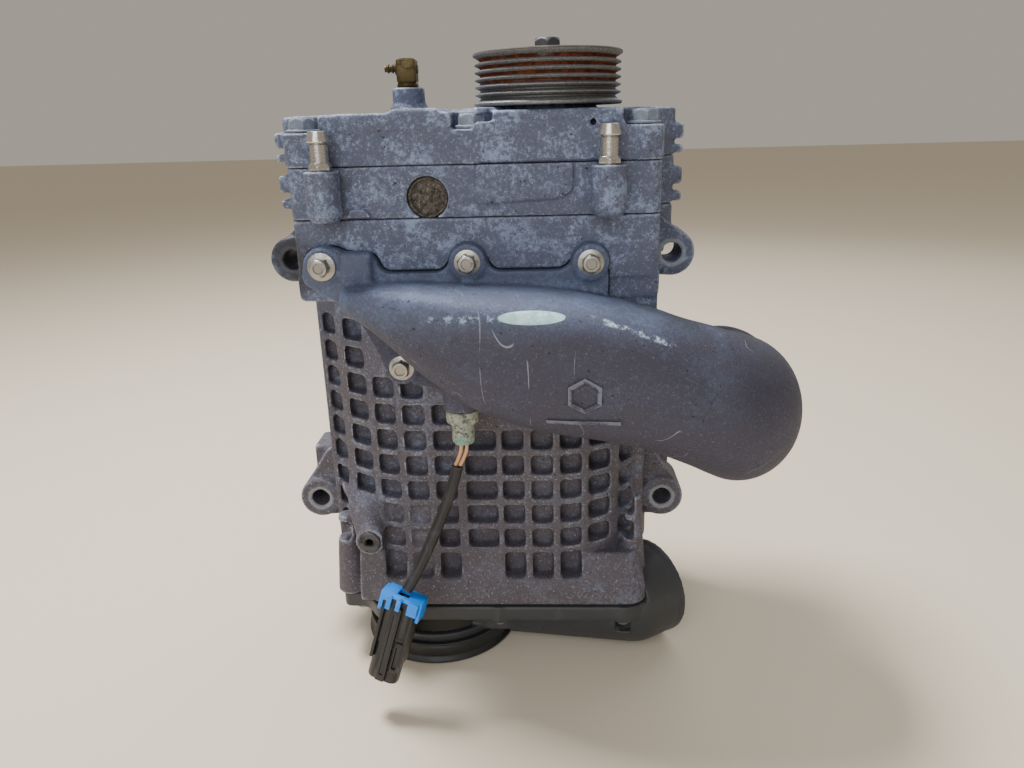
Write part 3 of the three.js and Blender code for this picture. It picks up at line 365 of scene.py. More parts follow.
def block(low, high, bevel=0, segments=2, name="block"):
    nothingSelected()
    middle = at(*((a + b) / 2 for a, b in zip(low, high)))
    sides = tuple(abs(b - a) / 1000 for a, b in zip(low, high))
    bpy.ops.mesh.primitive_cube_add(size=1, location=middle, scale=sides)
    piece = settled(name)
    return rounded(piece, bevel, segments) if bevel else piece


def rod(start, end, radius, endRadius=None, sides=48, bevel=0, name="rod"):
    nothingSelected()
    first, last = at(*start), at(*end)
    way = last - first
    bpy.ops.mesh.primitive_cone_add(
        vertices=sides, radius1=radius / 1000, radius2=(radius if endRadius is None else endRadius) / 1000,
        depth=way.length, location=(first + last) / 2, rotation=way.to_track_quat("Z", "Y").to_euler())
    piece = settled(name)
    return rounded(piece, bevel) if bevel else piece


def slab(outline, start, end, corner=0, upright=False, bevel=0, name="slab"):
    nothingSelected()
    bpy.ops.mesh.primitive_circle_add(vertices=len(outline), radius=1, fill_type="NGON")
    piece = bpy.context.object
    piece.name = name
    bpy.ops.object.mode_set(mode="EDIT")
    mesh = bmesh.from_edit_mesh(piece.data)
    for vert, (u, v) in zip(mesh.verts, outline):
        vert.co = at(u, start, v) if upright else at(u, v, start)
    bmesh.update_edit_mesh(piece.data)
    bpy.ops.mesh.select_all(action="SELECT")
    if corner:
        bpy.ops.mesh.bevel(offset=corner / 1000, affect="VERTICES", segments=5, clamp_overlap=True)
    bpy.ops.mesh.select_all(action="SELECT")
    reach = (end - start) / 1000
    way = (0, reach, 0) if upright else (0, 0, reach)
    bpy.ops.mesh.extrude_region_move(TRANSFORM_OT_translate={"value": way})
    bpy.ops.mesh.select_all(action="SELECT")
    bpy.ops.mesh.remove_doubles(threshold=1e-6)
    bpy.ops.mesh.normals_make_consistent(inside=False)
    bpy.ops.object.mode_set(mode="OBJECT")
    return rounded(piece, bevel, angle=60) if bevel else piece


def turnedPiece(profile, spot, steps=64, bevel=0, closed=False, name="turned"):
    nothingSelected()  # a profile of radius and height, spun about an upright line at spot
    bpy.ops.mesh.primitive_circle_add(vertices=len(profile), radius=1)
    piece = bpy.context.object
    piece.name = name
    bpy.ops.object.mode_set(mode="EDIT")
    mesh = bmesh.from_edit_mesh(piece.data)
    mesh.verts.ensure_lookup_table()
    for vert, (radius, height) in zip(mesh.verts, profile):
        vert.co = at(spot[0] + radius, spot[1], height)
    if not closed:
        ends = {mesh.verts[0], mesh.verts[len(profile) - 1]}
        seam = [edge for edge in mesh.edges if set(edge.verts) == ends]
        bmesh.ops.delete(mesh, geom=seam, context="EDGES_FACES")
    bmesh.update_edit_mesh(piece.data)
    bpy.ops.mesh.select_all(action="SELECT")
    bpy.ops.mesh.spin(steps=steps, angle=2 * pi, center=at(spot[0], spot[1], 0), axis=(0, 0, 1))
    bpy.ops.mesh.select_all(action="SELECT")
    bpy.ops.mesh.remove_doubles(threshold=1e-6)
    bpy.ops.mesh.normals_make_consistent(inside=False)
    bpy.ops.object.mode_set(mode="OBJECT")
    return rounded(piece, bevel) if bevel else piece


def combined(body, tools, operation):
    for tool in tools:
        applied(body, "BOOLEAN", operation=operation, solver="MANIFOLD", object=tool)
        bpy.data.objects.remove(tool)
    return body


def joined(body, *tools):
    return combined(body, tools, "UNION")


def cut(body, *tools):
    return combined(body, tools, "DIFFERENCE")


def copyOf(piece, move, name):
    twin = bpy.data.objects.new(name, piece.data.copy())
    bpy.context.scene.collection.objects.link(twin)
    twin.data.transform(move)
    return twin


def cast(piece, name, voxel=1.1, soften=4, triangles=150000):  # one skin with soft foundry edges
    applied(piece, "REMESH", mode="VOXEL", voxel_size=voxel / 1000)
    applied(piece, "SMOOTH", factor=0.5, iterations=soften)
    count = sum(len(face.vertices) - 2 for face in piece.data.polygons)
    if count > triangles:
        applied(piece, "DECIMATE", ratio=triangles / count)
    piece.name = name
    only(piece)
    bpy.ops.object.shade_smooth()
    return piece


def smooth(piece, angle=35):
    only(piece)
    bpy.ops.object.shade_smooth_by_angle(angle=math.radians(angle))
    return piece


def shown(piece, name, finish, slotName, body, *nodes):
    piece.name = name
    piece.data.name = name
    piece.data.materials.clear()
    piece.data.materials.append(finishes[finish])
    if nodes:
        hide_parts(*nodes)
    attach(piece, body)
    return piece


def widened(outline, distance):
    count = len(outline)
    area = sum(outline[i][0] * outline[(i + 1) % count][1] - outline[(i + 1) % count][0] * outline[i][1]
               for i in range(count))
    side = math.copysign(1, area)
    result = []
    for i, (x, y) in enumerate(outline):
        before, after = Vector(outline[i - 1]), Vector(outline[(i + 1) % count])
        u, v = (Vector((x, y)) - before).normalized(), (after - Vector((x, y))).normalized()
        miter = Vector((u.y + v.y, -u.x - v.x)) * (side / (1 + u.dot(v)))
        result.append((x + miter.x * distance, y + miter.y * distance))
    return result


# ---- sensor cable
cable = {
    "wireRadius": 0.95, "sleeveRadius": 3.1,
    "leftWire": [(-8.9, -55.2, 152.4), (-9.2, -55.5, 148), (-10.6, -56.5, 143.6), (-12.4, -57.6, 139.8)],
    "rightWire": [(-6, -55.2, 152.4), (-6.3, -55.5, 148), (-7.9, -56.6, 143.6), (-10, -57.8, 139.8)],
    "sleeve": [(-11.4, -57.9, 139.3), (-12.6, -58.6, 134.6), (-14.2, -59.6, 129.4), (-16.2, -60.9, 123.6),
               (-18.6, -62.4, 117.4), (-21.3, -64.1, 110.8), (-24.3, -66, 104), (-27.5, -68, 97.2),
               (-30.8, -70, 90.6), (-34, -71.9, 84.6), (-37, -73.6, 79.4), (-39.8, -75.1, 75)],
}


def cordCurve(points, radius, name, finish, slotName, node):
    data = bpy.data.curves.new(name, "CURVE")
    data.dimensions = "3D"
    data.bevel_depth = radius / 1000
    data.bevel_resolution = 6
    data.use_fill_caps = True
    line = data.splines.new("BEZIER")
    line.bezier_points.add(len(points) - 1)
    for knot, point in zip(line.bezier_points, points):
        knot.co = at(*point)
        knot.handle_left_type = knot.handle_right_type = "AUTO"
    piece = bpy.data.objects.new(name, data)
    bpy.context.scene.collection.objects.link(piece)
    return shown(piece, name, finish, slotName, "casing", node)


leftWire = cordCurve(cable["leftWire"], cable["wireRadius"], "wireLeft", "wireTan", "wire_insulation",
                     "sensor_wire_left")
rightWire = cordCurve(cable["rightWire"], cable["wireRadius"], "wireRight", "wireTan", "wire_insulation",
                      "sensor_wire_right")
sleeve = cordCurve(cable["sleeve"], cable["sleeveRadius"], "cableSleeve", "sleeveVinyl", "rubber",
                   "cable_sleeve")
print("cable ready")

# ---- rotor housing
housing = {
    "bottom": 42, "top": 266.5, "maleX": 36, "femaleX": -36, "rotorY": 27.387, "lobe": 63, "bore": 44.6,
    "half": 93.5, "earX": 105.8, "earZ": (91.4, 240.6), "earR": 12.7, "earBore": 5.5, "earDepth": 30,
    "seatY": -36.2, "insert": (-66.6, 84), "apronSteps": 11,
}
caseOutline = [(-91.5, -40), (94, -40), (94, 3), (107, 8), (107, 70), (94, 90), (40, 94), (-40, 94),
               (-91.5, 90),
               (-107, 70), (-107, 8), (-91.5, 3)]
baseOutline = [(-90, -27), (-75, -27), (-65, -41), (87, -41), (94, -34), (94, 82), (60, 92), (-60, 92),
               (-90, 82)]
ductOutline = [(-88, 236), (-85, 251), (-70, 254), (-63, 250), (-50, 250), (-46, 240), (-15, 240), (-9, 251),
               (4, 251), (10, 240), (46, 240), (54, 251), (64, 251), (68, 240), (67, 172), (12, 168),
               (-30, 180),
               (-46, 183), (-50, 194), (-62, 220)]
portOutline = [(-50, 222), (52, 222), (52, 184), (10, 178), (-18, 190)]
coverBolts = [(-83, -31), (1, -31), (85, -31), (-83, 78), (1, 84), (85, 78)]
screwPlaces = [(-80, -19), (6.5, -35.5), (80, -35.5), (-78, 76), (0, 85), (80, 76)]
ductBolts = [(-76, 244.5), (-2.6, 245), (59, 244), (-39.5, 190.4)]
tube = {"radius": 29, "wall": 4, "axisZ": 29.4, "rim": (103, 1), "turn": math.radians(34)}
pocket = {
    "columns": [-85.7, -69.5, -53.3, -37.1, -20.9, -1, 17, 33.2, 49.4, 65.6, 81.8],
    "rows": [206, 190.4, 175, 159.8, 144.4, 129, 113.8, 98.6, 83, 66],
    "rowRange": [(0, 8), (0, 6), (2, 9), (2, 9), (3, 9), (4, 8), (4, 9), (4, 9), (4, 9), (4, 8), (5, 8)],
    "half": 6.05, "wideHalf": 8.8, "tall": 5.75, "lastTall": 7.6, "depth": 8.5, "edgeHalf": 4.4,
    "sideShare": 0.8, "edgeShare": 0.35, "overPort": 4.5, "backHalf": 6, "sideY": (26, 43),
}


def lobeReach(x):  # how far the front of the casing stands out at x
    beyond = max(0, abs(x) - housing["maleX"])
    return math.sqrt(max(0, housing["lobe"] ** 2 - beyond ** 2))


def alongTube(distance):
    return (tube["rim"][0] + distance * math.cos(tube["turn"]),
            tube["rim"][1] + distance * math.sin(tube["turn"]),
            tube["axisZ"])


def pocketTool(x, z, halfWide, halfTall, floor, outward):
    far = floor + outward * 70
    return block((x - halfWide, min(floor, far), z - halfTall),
                 (x + halfWide, max(floor, far), z + halfTall), 1.9, 3)


def frontPockets():
    tools = []
    for column, x in enumerate(pocket["columns"]):
        first, last = pocket["rowRange"][column]
        half = {5: pocket["wideHalf"], 0: pocket["edgeHalf"], 10: pocket["edgeHalf"]}.get(column,
                                                                                          pocket["half"])
        outer = max(abs(x - half), abs(x + half))
        depth = pocket["depth"] * (1.0 if 4 <= column <= 6 else pocket["sideShare"])
        floor = housing["rotorY"] - lobeReach(outer) + depth * (pocket["edgeShare"] if column in (0, 10)
                                                                else 1)
        for row in range(first, last + 1):
            tall = pocket["lastTall"] if row == 9 else pocket["tall"]
            shallow = pocket["overPort"] if row >= 7 and column in (2, 3) else 0
            tools.append(pocketTool(x, pocket["rows"][row], half, tall, floor - shallow, -1))
    return tools


def backPockets():
    tools = []
    for column in range(-5, 6):
        x = column * 16.2
        floor = housing["rotorY"] + lobeReach(abs(x) + 6) - (2 if abs(column) == 5 else 6.5)
        for z in pocket["rows"][:7 if abs(column) == 5 else 9]:
            tools.append(pocketTool(x, z, pocket["backHalf"], pocket["tall"], floor, 1))
    return tools


def sidePockets():
    tools = []
    for side in (-1, 1):
        for y in pocket["sideY"]:
            for z in pocket["rows"][:4 if y < 30 else 7]:
                inner, outer = side * (housing["half"] - 4), side * (housing["half"] + 20)
                low = (min(inner, outer), y - pocket["backHalf"], z - pocket["tall"])
                high = (max(inner, outer), y + pocket["backHalf"], z + pocket["tall"])
                tools.append(block(low, high, 1.5, 2))
    return tools


def earSolids(side, z):
    inner, earX, radius = side * (housing["half"] - 6), side * housing["earX"], housing["earR"]
    rise = 21 if z > 200 else 33
    web = slab([(inner, z - radius), (earX, z - radius), (side * (housing["earX"] + radius * 0.95), z + 4),
                (side * (housing["half"] + 5), z + rise), (inner, z + rise)], 2.5, 18, 2, True)
    boss = rod((earX, 0, z), (earX, housing["earDepth"], z), radius, bevel=0.8)
    solids = [web, boss]
    if z < 200:
        solids.append(block((min(side * 90, side * 111), 14, z + 4),
                            (max(side * 90, side * 111), 38, z + 30), 2))
    return solids


def makeHousing():
    h = housing
    top = h["top"] - 20
    body = rod((h["maleX"], h["rotorY"], h["bottom"]), (h["maleX"], h["rotorY"], top), h["lobe"], sides=96)
    insertX, insertZ = h["insert"]
    solids = [
        rod((h["femaleX"], h["rotorY"], h["bottom"]), (h["femaleX"], h["rotorY"], top), h["lobe"], sides=96),
        block((-h["half"], -8, h["bottom"] + 6), (h["half"], 62, top), 2),
        block((-36, h["rotorY"] - 63, h["bottom"]), (36, h["rotorY"] + 63, top)),
        slab(baseOutline, h["bottom"], h["bottom"] + 10, 6),
        slab(caseOutline, h["top"] - 31, h["top"], 6),
        slab([(-91.5, 225), (94, 225), (94, 240), (-91.5, 240)], -39, 0, 3, True),
        slab([(66, 206), (93.5, 206), (93.5, 240), (66, 240)], -38, 0, 3, True),
        slab(widened(ductOutline, 3), h["seatY"], 10, 4, True),
        rod((insertX, -41.2, insertZ), (insertX, 0, insertZ), 8.2, 11),
        rod((insertX, -36, insertZ), (insertX - 14, -2, insertZ + 34), 8, 12),
        slab([(insertX - 10, 42), (insertX + 8, 42), (insertX + 7, insertZ), (insertX - 7, insertZ)], -37,
             0, 2, True),
    ]
    for x, y in [(-84, -22), (86, -22), (-84, 76), (86, 76)]:
        solids.append(rod((x, y, h["bottom"]), (x, y, 104), 9, 4))
    for step in range(h["apronSteps"]):  # foot that spreads out to the base
        low = h["bottom"] + 8 + step * 2
        solids.append(slab(widened(baseOutline, -0.42 * (step + 1) ** 1.2), low, low + 2.2, 6))
    for side in (-1, 1):
        for z in h["earZ"]:
            solids += earSolids(side, z)
    for x in (-91, 91):  # lifting bosses down the back edges
        solids.append(rod((x, 66, 60), (x, 66, 240), 9))
    joined(body, *solids)
    tools = [slab(widened(ductOutline, 0.6), -60, h["seatY"], 4, True), slab(portOutline, -60, 8, 4, True)]
    tools += frontPockets() + backPockets() + sidePockets()
    for x in (h["maleX"], h["femaleX"]):
        tools.append(rod((x, h["rotorY"], h["bottom"] + 14.5), (x, h["rotorY"], h["top"] + 5), h["bore"],
                         sides=96))
        tools.append(slab([(x + radius * math.cos(a), h["rotorY"] + radius * math.sin(a)) for radius, a in
                           [(42.6, math.radians(205 + 13 * k)) for k in range(11)] +
                           [(26, math.radians(335 - 13 * k)) for k in range(11)]], h["bottom"] - 2,
                           h["bottom"] + 17))
    for side in (-1, 1):
        for z in h["earZ"]:
            tools.append(rod((side * h["earX"], -5, z), (side * h["earX"], 35, z), h["earBore"]))
    for x, y in screwPlaces:
        tools.append(rod((x, y, h["bottom"] - 1), (x, y, h["bottom"] + 11), 2.9, sides=24))
    tools.append(rod((insertX, -45, insertZ), (insertX, -28, insertZ), 4.1))
    tools.append(rod(alongTube(-27), alongTube(40), tube["radius"] + 2.6, sides=64))
    cut(body, *tools)
    cast(body, "rotorHousing", 1.15, 3, 190000)
    return shown(body, "rotorHousing", "caseCoat", "cast_aluminium", "casing", "rotor_housing")


makeHousing()
print("rotor housing ready")

# ---- gear case: middle plate and cover
gearCase = {"plateBottom": 266.8, "plateTop": 291.8, "seat": 308.4, "top": 316.5, "noseTop": 335.7,
            "oilTop": 328.9,
            "pulley": (38.6, -2.5), "oil": (-33.2, -5), "barbs": [(-71.1, -47.5), (67.2, -47.5)],
            "plug": (-21.6, 276.5, 10.3)}
gearRoom = [(-86, -20), (-30, -24), (16, -25), (60, -25), (74, 0), (72, 60), (10, 74), (-20, 82), (-64, 81),
            (-87, 58)]


def sideTabs(low, high):
    return [block((min(side * 103, side * 111), 8, low), (max(side * 103, side * 111), 20, high), 0.8)
            for side in (-1, 1)]


def makePlate():
    g = gearCase
    low, high = g["plateBottom"], g["plateTop"]
    body = slab(caseOutline, low, high, 6, bevel=0.5)
    solids = sideTabs(low + 10, low + 19) + sideTabs(low + 1, low + 6)
    for x, y in g["barbs"]:
        solids.append(rod((x, y, low + 3), (x, y, high - 1), 8.5, sides=64))
        solids.append(rod((x, y, low - 0.2), (x, y, low + 3.1), 6.6, 8.5, sides=64))
        solids.append(block((x - 7.2, -46, low + 4), (x + 7.2, -38, high - 1), 2))
    solids.append(slab([(3, low + 6.5), (44, low + 8.5), (50, low + 12), (50, high), (3, high)], -41.2, -30,
                       2, True))
    solids.append(slab([(-62, low + 1), (-50, low + 1), (-53, low + 5), (-60, low + 5)], -42, -30, 1, True))
    joined(body, *solids)
    plugX, plugZ, plugR = g["plug"]
    tools = [slab(gearRoom, low + 12.5, high + 1, 10),
             rod((plugX, -60, plugZ), (plugX, -32.2, plugZ), plugR, sides=64)]
    tools += [rod((x, y, high - 10), (x, y, high + 1), 3.9, sides=32) for x, y in g["barbs"]]
    tools += [rod((x, housing["rotorY"], low - 1), (x, housing["rotorY"], high + 1), 16) for x in (-36, 36)]
    tools += [rod((x, housing["rotorY"], low + 2), (x, housing["rotorY"], high + 1), 26.3, sides=64)
              for x in (-36, 36)]
    tools += [block((x - 12, 92.6, low + 4), (x + 12, 100, high - 4), 1) for x in (-20, 20)]
    cut(body, *tools)
    cast(body, "gearPlate", 0.8, 2, 120000)
    return shown(body, "gearPlate", "castCoat", "cast_aluminium", "casing", "gear_plate")


def boltWell(x, y):
    outside = -60 if y < housing["rotorY"] else 120
    corner = math.copysign(120, x) if abs(x) > 50 else x + 11
    low, high = gearCase["seat"], gearCase["top"] + 2
    return [rod((x, y, low), (x, y, high), 10.6),
            block((x - 10.6, min(y, outside), low), (x + 10.6, max(y, outside), high)),
            block((min(x, corner), y - 10.6, low), (max(x, corner), y + 10.6, high))]


def makeCover():
    g = gearCase
    low, seat, top = 292.1, g["seat"], g["top"]
    pulleyX, pulleyY = g["pulley"]
    oilX, oilY = g["oil"]
    raised = slab(caseOutline, seat - 1, top, 6, bevel=1.5)
    wells = [solid for spot in coverBolts for solid in boltWell(*spot)]
    cut(raised, *wells)
    body = slab(caseOutline, low, seat, 6, bevel=0.6)
    solids = [raised,
              rod((pulleyX, pulleyY, seat), (pulleyX, pulleyY, top), 32, 31, sides=72),
              rod((pulleyX, pulleyY, seat), (pulleyX, pulleyY, top + 4), 30, 23.5, sides=72),
              rod((pulleyX, pulleyY, seat), (pulleyX, pulleyY, g["noseTop"]), 23, sides=72),
              rod((oilX, oilY, seat), (oilX, oilY, g["oilTop"]), 8.9, 8.2),
              rod((oilX, oilY, seat), (oilX, oilY, top + 3.5), 12, 9.5),
              slab([(-43, seat), (-8, seat), (-14, top + 1.8), (-37, top + 1.8)], -40, 12, 2, True),
              slab([(-66, seat), (-8, seat), (-8, top), (-66, top + 0.2)], -40.8, -20, 3, True),
              slab([(3, low + 1), (75, low + 1), (75, seat + 3), (3, seat + 3)], -41, -30, 2, True)]
    solids += sideTabs(seat - 8, seat) + sideTabs(low + 1, low + 5)
    for x, y in coverBolts:
        solids.append(rod((x, y, low), (x, y, seat), 10))
    for angle in range(0, 360, 45):  # ribs from the nose over the cover
        way = Vector((math.cos(math.radians(angle)), math.sin(math.radians(angle))))
        if abs(angle - 180) > 60:
            continue
        end = Vector((pulleyX, pulleyY)) + way * 50
        solids.append(rod((pulleyX, pulleyY, top), (end.x, end.y, top), 2.2, 1.6, sides=24))
    joined(body, *solids)
    tools = [slab(gearRoom, low - 1, 303.8, 10),
             rod((pulleyX, pulleyY, 302), (pulleyX, pulleyY, g["noseTop"] - 1), 17.3),
             rod((pulleyX, pulleyY, 330), (pulleyX, pulleyY, g["noseTop"] + 1), 13),
             rod((oilX, oilY, 302), (oilX, oilY, g["oilTop"] + 1), 3.3),
             rod((60, -60, top - 6.5), (60, -36, top - 6.5), 1.6, sides=24)]
    cut(body, *tools)
    cast(body, "gearCover", 0.9, 2, 150000)
    return shown(body, "gearCover", "castCoat", "cast_aluminium", "casing", "gear_cover")


makePlate()
makeCover()
print("gear case ready")

# ---- outlet duct
duct = {"wall": 5, "bendWall": 3, "flange": 7, "gasket": 0.9, "padRise": 1.5, "gap": 0.3, "mouth": 36,
        "x": 132.5, "z": 163, "endY": 0,
        "rings": 5, "sides": 64}
stations = [  # x, y, z, front, back, top, bottom, turn, squareness
    (-66, -44, 228, 14, 3, 6, 6, 0, 3.2), (-48, -45, 226, 22, 6, 10, 16.5, 0, 4.2),
    (-28, -47, 221, 28, 8, 15, 29, 0, 5), (-7, -49, 215, 34, 10, 20, 38, 0, 5.2),
    (16, -51, 209, 37, 12, 25, 42, 0, 5), (40, -53, 203, 38, 14, 29, 42, 0, 4.4),
    (62, -55, 197, 37, 18, 32, 40, 0, 3.4), (84, -57, 189, 35.7, 33.5, 35, 37, 0, 2.5),
    (104, -57, 180, 35.6, 35, 37.5, 36.5, 5, 2), (119, -54, 172, 36.5, 36.5, 41, 38, 24, 2),
    (130, -45, 165, 37, 37, 42.5, 39.5, 52, 2), (134.5, -33, 162, 37, 37.5, 41.5, 40, 76, 2),
    (133, -20, 162, 38.5, 37.5, 38.5, 39.5, 90, 2), (132.5, 0, 163, 35.6, 36, 34.5, 36, 90, 2),
]


def blended(rows, share):  # smooth curve through the rows, share runs from 0 to their count
    index = min(int(share), len(rows) - 2)
    t = share - index
    a, b, c, d = (rows[max(0, min(len(rows) - 1, index + k))] for k in (-1, 0, 1, 2))
    return [0.5 *
            (2 * q + (r - p) * t + (2 * p - 5 * q + 4 * r - s) * t * t + (3 * q - p - 3 * r + s) * t ** 3)
            for p, q, r, s in zip(a, b, c, d)]


def ductRing(row, inset, sides):
    x, y, z, front, back, top, bottom, turn, square = row
    turn = math.radians(turn)
    ring = []
    for i in range(sides):
        u, v = math.sin(2 * pi * i / sides), math.cos(2 * pi * i / sides)
        power = square if v > 0 else 2 + (square - 2) * 0.3
        out = math.copysign(abs(u) ** (2 / power), u) * max((front if u > 0 else back) - inset, 0.5)
        up = math.copysign(abs(v) ** (2 / power), v) * max((top if v > 0 else bottom) - inset, 0.5)
        ring.append(at(x + math.sin(turn) * out, y - math.cos(turn) * out, z + up))
    return ring


def sweptBody(rows, inset):
    count = duct["rings"] * (len(rows) - 1)
    rings = [ductRing(blended(rows, i / duct["rings"]), inset, duct["sides"]) for i in range(count + 1)]
    nothingSelected()
    bpy.ops.mesh.primitive_circle_add(vertices=duct["sides"], radius=1, fill_type="NGON")
    piece = bpy.context.object
    bpy.ops.object.mode_set(mode="EDIT")
    bpy.ops.mesh.select_all(action="SELECT")
    for index, ring in enumerate(rings):
        if index:
            bpy.ops.mesh.extrude_region_move()
        mesh = bmesh.from_edit_mesh(piece.data)
        chosen = [vert for vert in mesh.verts if vert.select]
        chosen.sort(key=lambda vert: vert.index)
        for vert, spot in zip(chosen, ring):
            vert.co = spot
        bmesh.update_edit_mesh(piece.data)
    bpy.ops.mesh.select_all(action="SELECT")
    bpy.ops.mesh.normals_make_consistent(inside=False)
    bpy.ops.object.mode_set(mode="OBJECT")
    return piece


def ductMark():  # plain hexagon ring over a bar, standing just proud of the front
    skin = sweptBody(stations, -0.8)
    shape = rod((54, -120, 190), (54, -60, 190), 9, sides=6)
    cut(shape, rod((54, -121, 190), (54, -59, 190), 6.6, sides=6))
    joined(shape, block((36, -120, 174.6), (71, -60, 176.6)))
    combined(skin, [shape], "INTERSECT")
    return skin


def makeDuct():
    back = housing["seatY"] - duct["gasket"] - 2 * duct["gap"]
    front = back - duct["flange"]
    body = sweptBody(stations, 0)
    inner = [list(row) for row in stations[2:]]
    inner[-1][1] += 5
    for row in inner[6:]:
        row[4] -= duct["bendWall"]  # thicker on the inside of the bend
    sensorX, sensorY = -7.5, -55
    solids = [slab(ductOutline, front, back, 4, True),
              block((-67, front - 3.4, 235), (-50.5, back, 251.5), 2.5, 3),
              rod((duct["x"], duct["endY"] - 5.5, duct["z"]), (duct["x"], duct["endY"] - 0.5, duct["z"]),
                  duct["mouth"] + 0.6, sides=96,
                  bevel=1),
              rod((sensorX, sensorY, 171.3), (sensorX, sensorY, 200), 9.5, 10.5)]
    for x, z in ductBolts:
        solids.append(rod((x, front - 1.5, z), (x, back, z), 9, 10.5))
    joined(body, *solids)
    tools = [sweptBody(inner, duct["wall"]), slab(portOutline, front - 7, 0, 4, True),
             block((-120, back, 100), (72.5, 60, 300))]
    for x, z in ductBolts:
        tools.append(rod((x, -56, z), (x, back + 2, z), 3.4, sides=24))
        tools.append(rod((x, front - 22, z), (x, front - 1.4, z), 8))
    tools.append(rod((-57, -60, 240.5), (-57, -40, 240.5), 1.2, sides=20))
    tools.append(rod((sensorX, sensorY, 169), (sensorX, sensorY, 183), 4.9))
    cut(body, *tools)
    cast(body, "outletDuct", 1.0, 4, 160000)
    joined(body, ductMark())
    return shown(body, "outletDuct", "ductCoat", "duct_aluminium", "casing", "outlet_duct")


makeDuct()
print("outlet duct ready")

# ---- intake housing and ring
intake = {"ring": (-34, 6), "ringR": 47.5, "ringHeight": 16, "top": 40.2, "flange": 9.5, "neck": 43.5}
tubOutline = [(-74, -8), (-64, -27), (62, -27), (76, -20), (84, 56), (50, 76), (-50, 76), (-82, 56)]


def channelTools(radius, startX, mouth):
    bend = alongTube(-19)
    nothingSelected()
    bpy.ops.mesh.primitive_uv_sphere_add(radius=radius / 1000, segments=64, ring_count=32, location=at(*bend))
    knee = settled("knee")
    return [rod((startX, 0, tube["axisZ"]), bend, radius, sides=64), knee,
            rod(bend, alongTube(mouth), radius, sides=64)]


def makeTub():
    t = intake
    x, y = t["ring"]
    top = t["top"]
    outer = channelTools(tube["radius"], 14, 0)
    body = slab(tubOutline, t["ringHeight"] - 2, top - 5, 12, bevel=1.5)
    solids = [slab(baseOutline, top - t["flange"], top, 6, bevel=0.6)] + outer
    solids += [rod(alongTube(-4.5), alongTube(0), tube["radius"] + 0.35, sides=64, bevel=0.6)]
    for px, py in screwPlaces:
        solids.append(rod((px, py, top - t["flange"] - 1.5), (px, py, top), 6.2, sides=40))
    joined(body, *solids)
    lid = block((-120, -80, top), (120, 120, 120))
    cut(lid, rod(alongTube(-27), alongTube(40), tube["radius"] + 0.6, sides=64))
    tools = [lid, rod(alongTube(0), alongTube(60), 70, sides=12)]
    cut(body, *tools)
    joined(body, rod((x, y, 5.9), (x, y, t["ringHeight"] + 2), t["neck"], sides=96))
    hollow = slab(widened(tubOutline, -3.5), t["ringHeight"] + 1.5, top + 1, 10)
    tools = [hollow] + channelTools(tube["radius"] - tube["wall"], 18, 8)
    tools.append(rod((x, y, -2), (x, y, t["ringHeight"] + 8), t["neck"] - 4, sides=96))
    for px, py in screwPlaces:
        tools.append(rod((px, py, 20), (px, py, top - t["flange"]), 4.6, sides=32))
    mark = slab([(-25.5, 25.5), (-18.5, 25.5), (-22, 19.5)], -27.6, -26.5, 0.2, True)
    joined(body, mark)
    cut(body, *tools)
    cast(body, "intakeTub", 0.85, 1, 160000)
    return shown(body, "intakeTub", "tubPlastic", "black_plastic", "casing", "intake_housing")


def makeRing():
    x, y = intake["ring"]
    profile = [(38.5, 0), (46.6, 0), (48.2, 1.2), (48.2, 2.4), (46.9, 3.6), (46.4, 5), (46.9, 6), (46.9, 11),
               (46.3, 12), (46.9, 13), (46.5, 13.5), (43.8, 13.5), (43.8, 5.5), (38.5, 5.5)]
    piece = turnedPiece(profile, (x, y), 128, closed=True)
    rounded(piece, 0.35)
    smooth(piece)
    return shown(piece, "intakeRing", "ringRubber", "rubber", "casing", "intake_ring")


makeTub()
makeRing()
print("intake ready")

# ---- pulley and its bolt
pulley = {"radius": 38.1, "bottom": 318.5, "top": 344.06, "grooves": 6, "pitch": 3.56, "depth": 3.4,
          "flange": 2.1,
          "shaftTop": 336.8}


def makePulley():
    p = pulley
    first = p["bottom"] + p["flange"]
    root, tip = p["radius"] - p["depth"], p["radius"] - 0.7
    profile = [(29.5, p["bottom"]), (p["radius"] - 0.6, p["bottom"]), (p["radius"], p["bottom"] + 0.6),
               (p["radius"], first - 0.5)]
    for i in range(p["grooves"]):
        middle = first + (i + 0.5) * p["pitch"]
        profile += [(root, middle - 0.35), (root, middle + 0.35)]
        if i < p["grooves"] - 1:
            crest = first + (i + 1) * p["pitch"]
            profile += [(tip, crest - 0.3), (tip, crest + 0.3)]
    web = p["shaftTop"] + 0.3
    profile += [(p["radius"], p["top"] - 1.6), (p["radius"], p["top"] - 0.6), (p["radius"] - 0.6, p["top"]),
                (33.5, p["top"]), (32.5, p["top"] - 0.8), (13, p["top"] - 0.8), (12, p["top"]),
                (5.4, p["top"]),
                (5.4, web), (25.5, web), (29.5, web - 5)]
    piece = turnedPiece(profile, gearCase["pulley"], 144, closed=True)
    rounded(piece, 0.12)
    smooth(piece, 25)
    return shown(piece, "grooveWheel", "pulleySteel", "pulley_steel", "input", "pulley")


def hexHead(x, y, low, high, across):  # hexagon with its corners turned down at the top
    radius = across / math.sqrt(3)
    head = rod((x, y, low), (x, y, high), radius, sides=6)
    cone = rod((x, y, low - 1), (x, y, high + 0.05),
               radius + 0.55 * (high - low + 1.05) + across * 0.44 - radius * 0.86,
               across * 0.46, sides=64)
    applied(head, "BOOLEAN", operation="INTERSECT", solver="MANIFOLD", object=cone)
    bpy.data.objects.remove(cone)
    return rounded(head, 0.2, 2, 20)


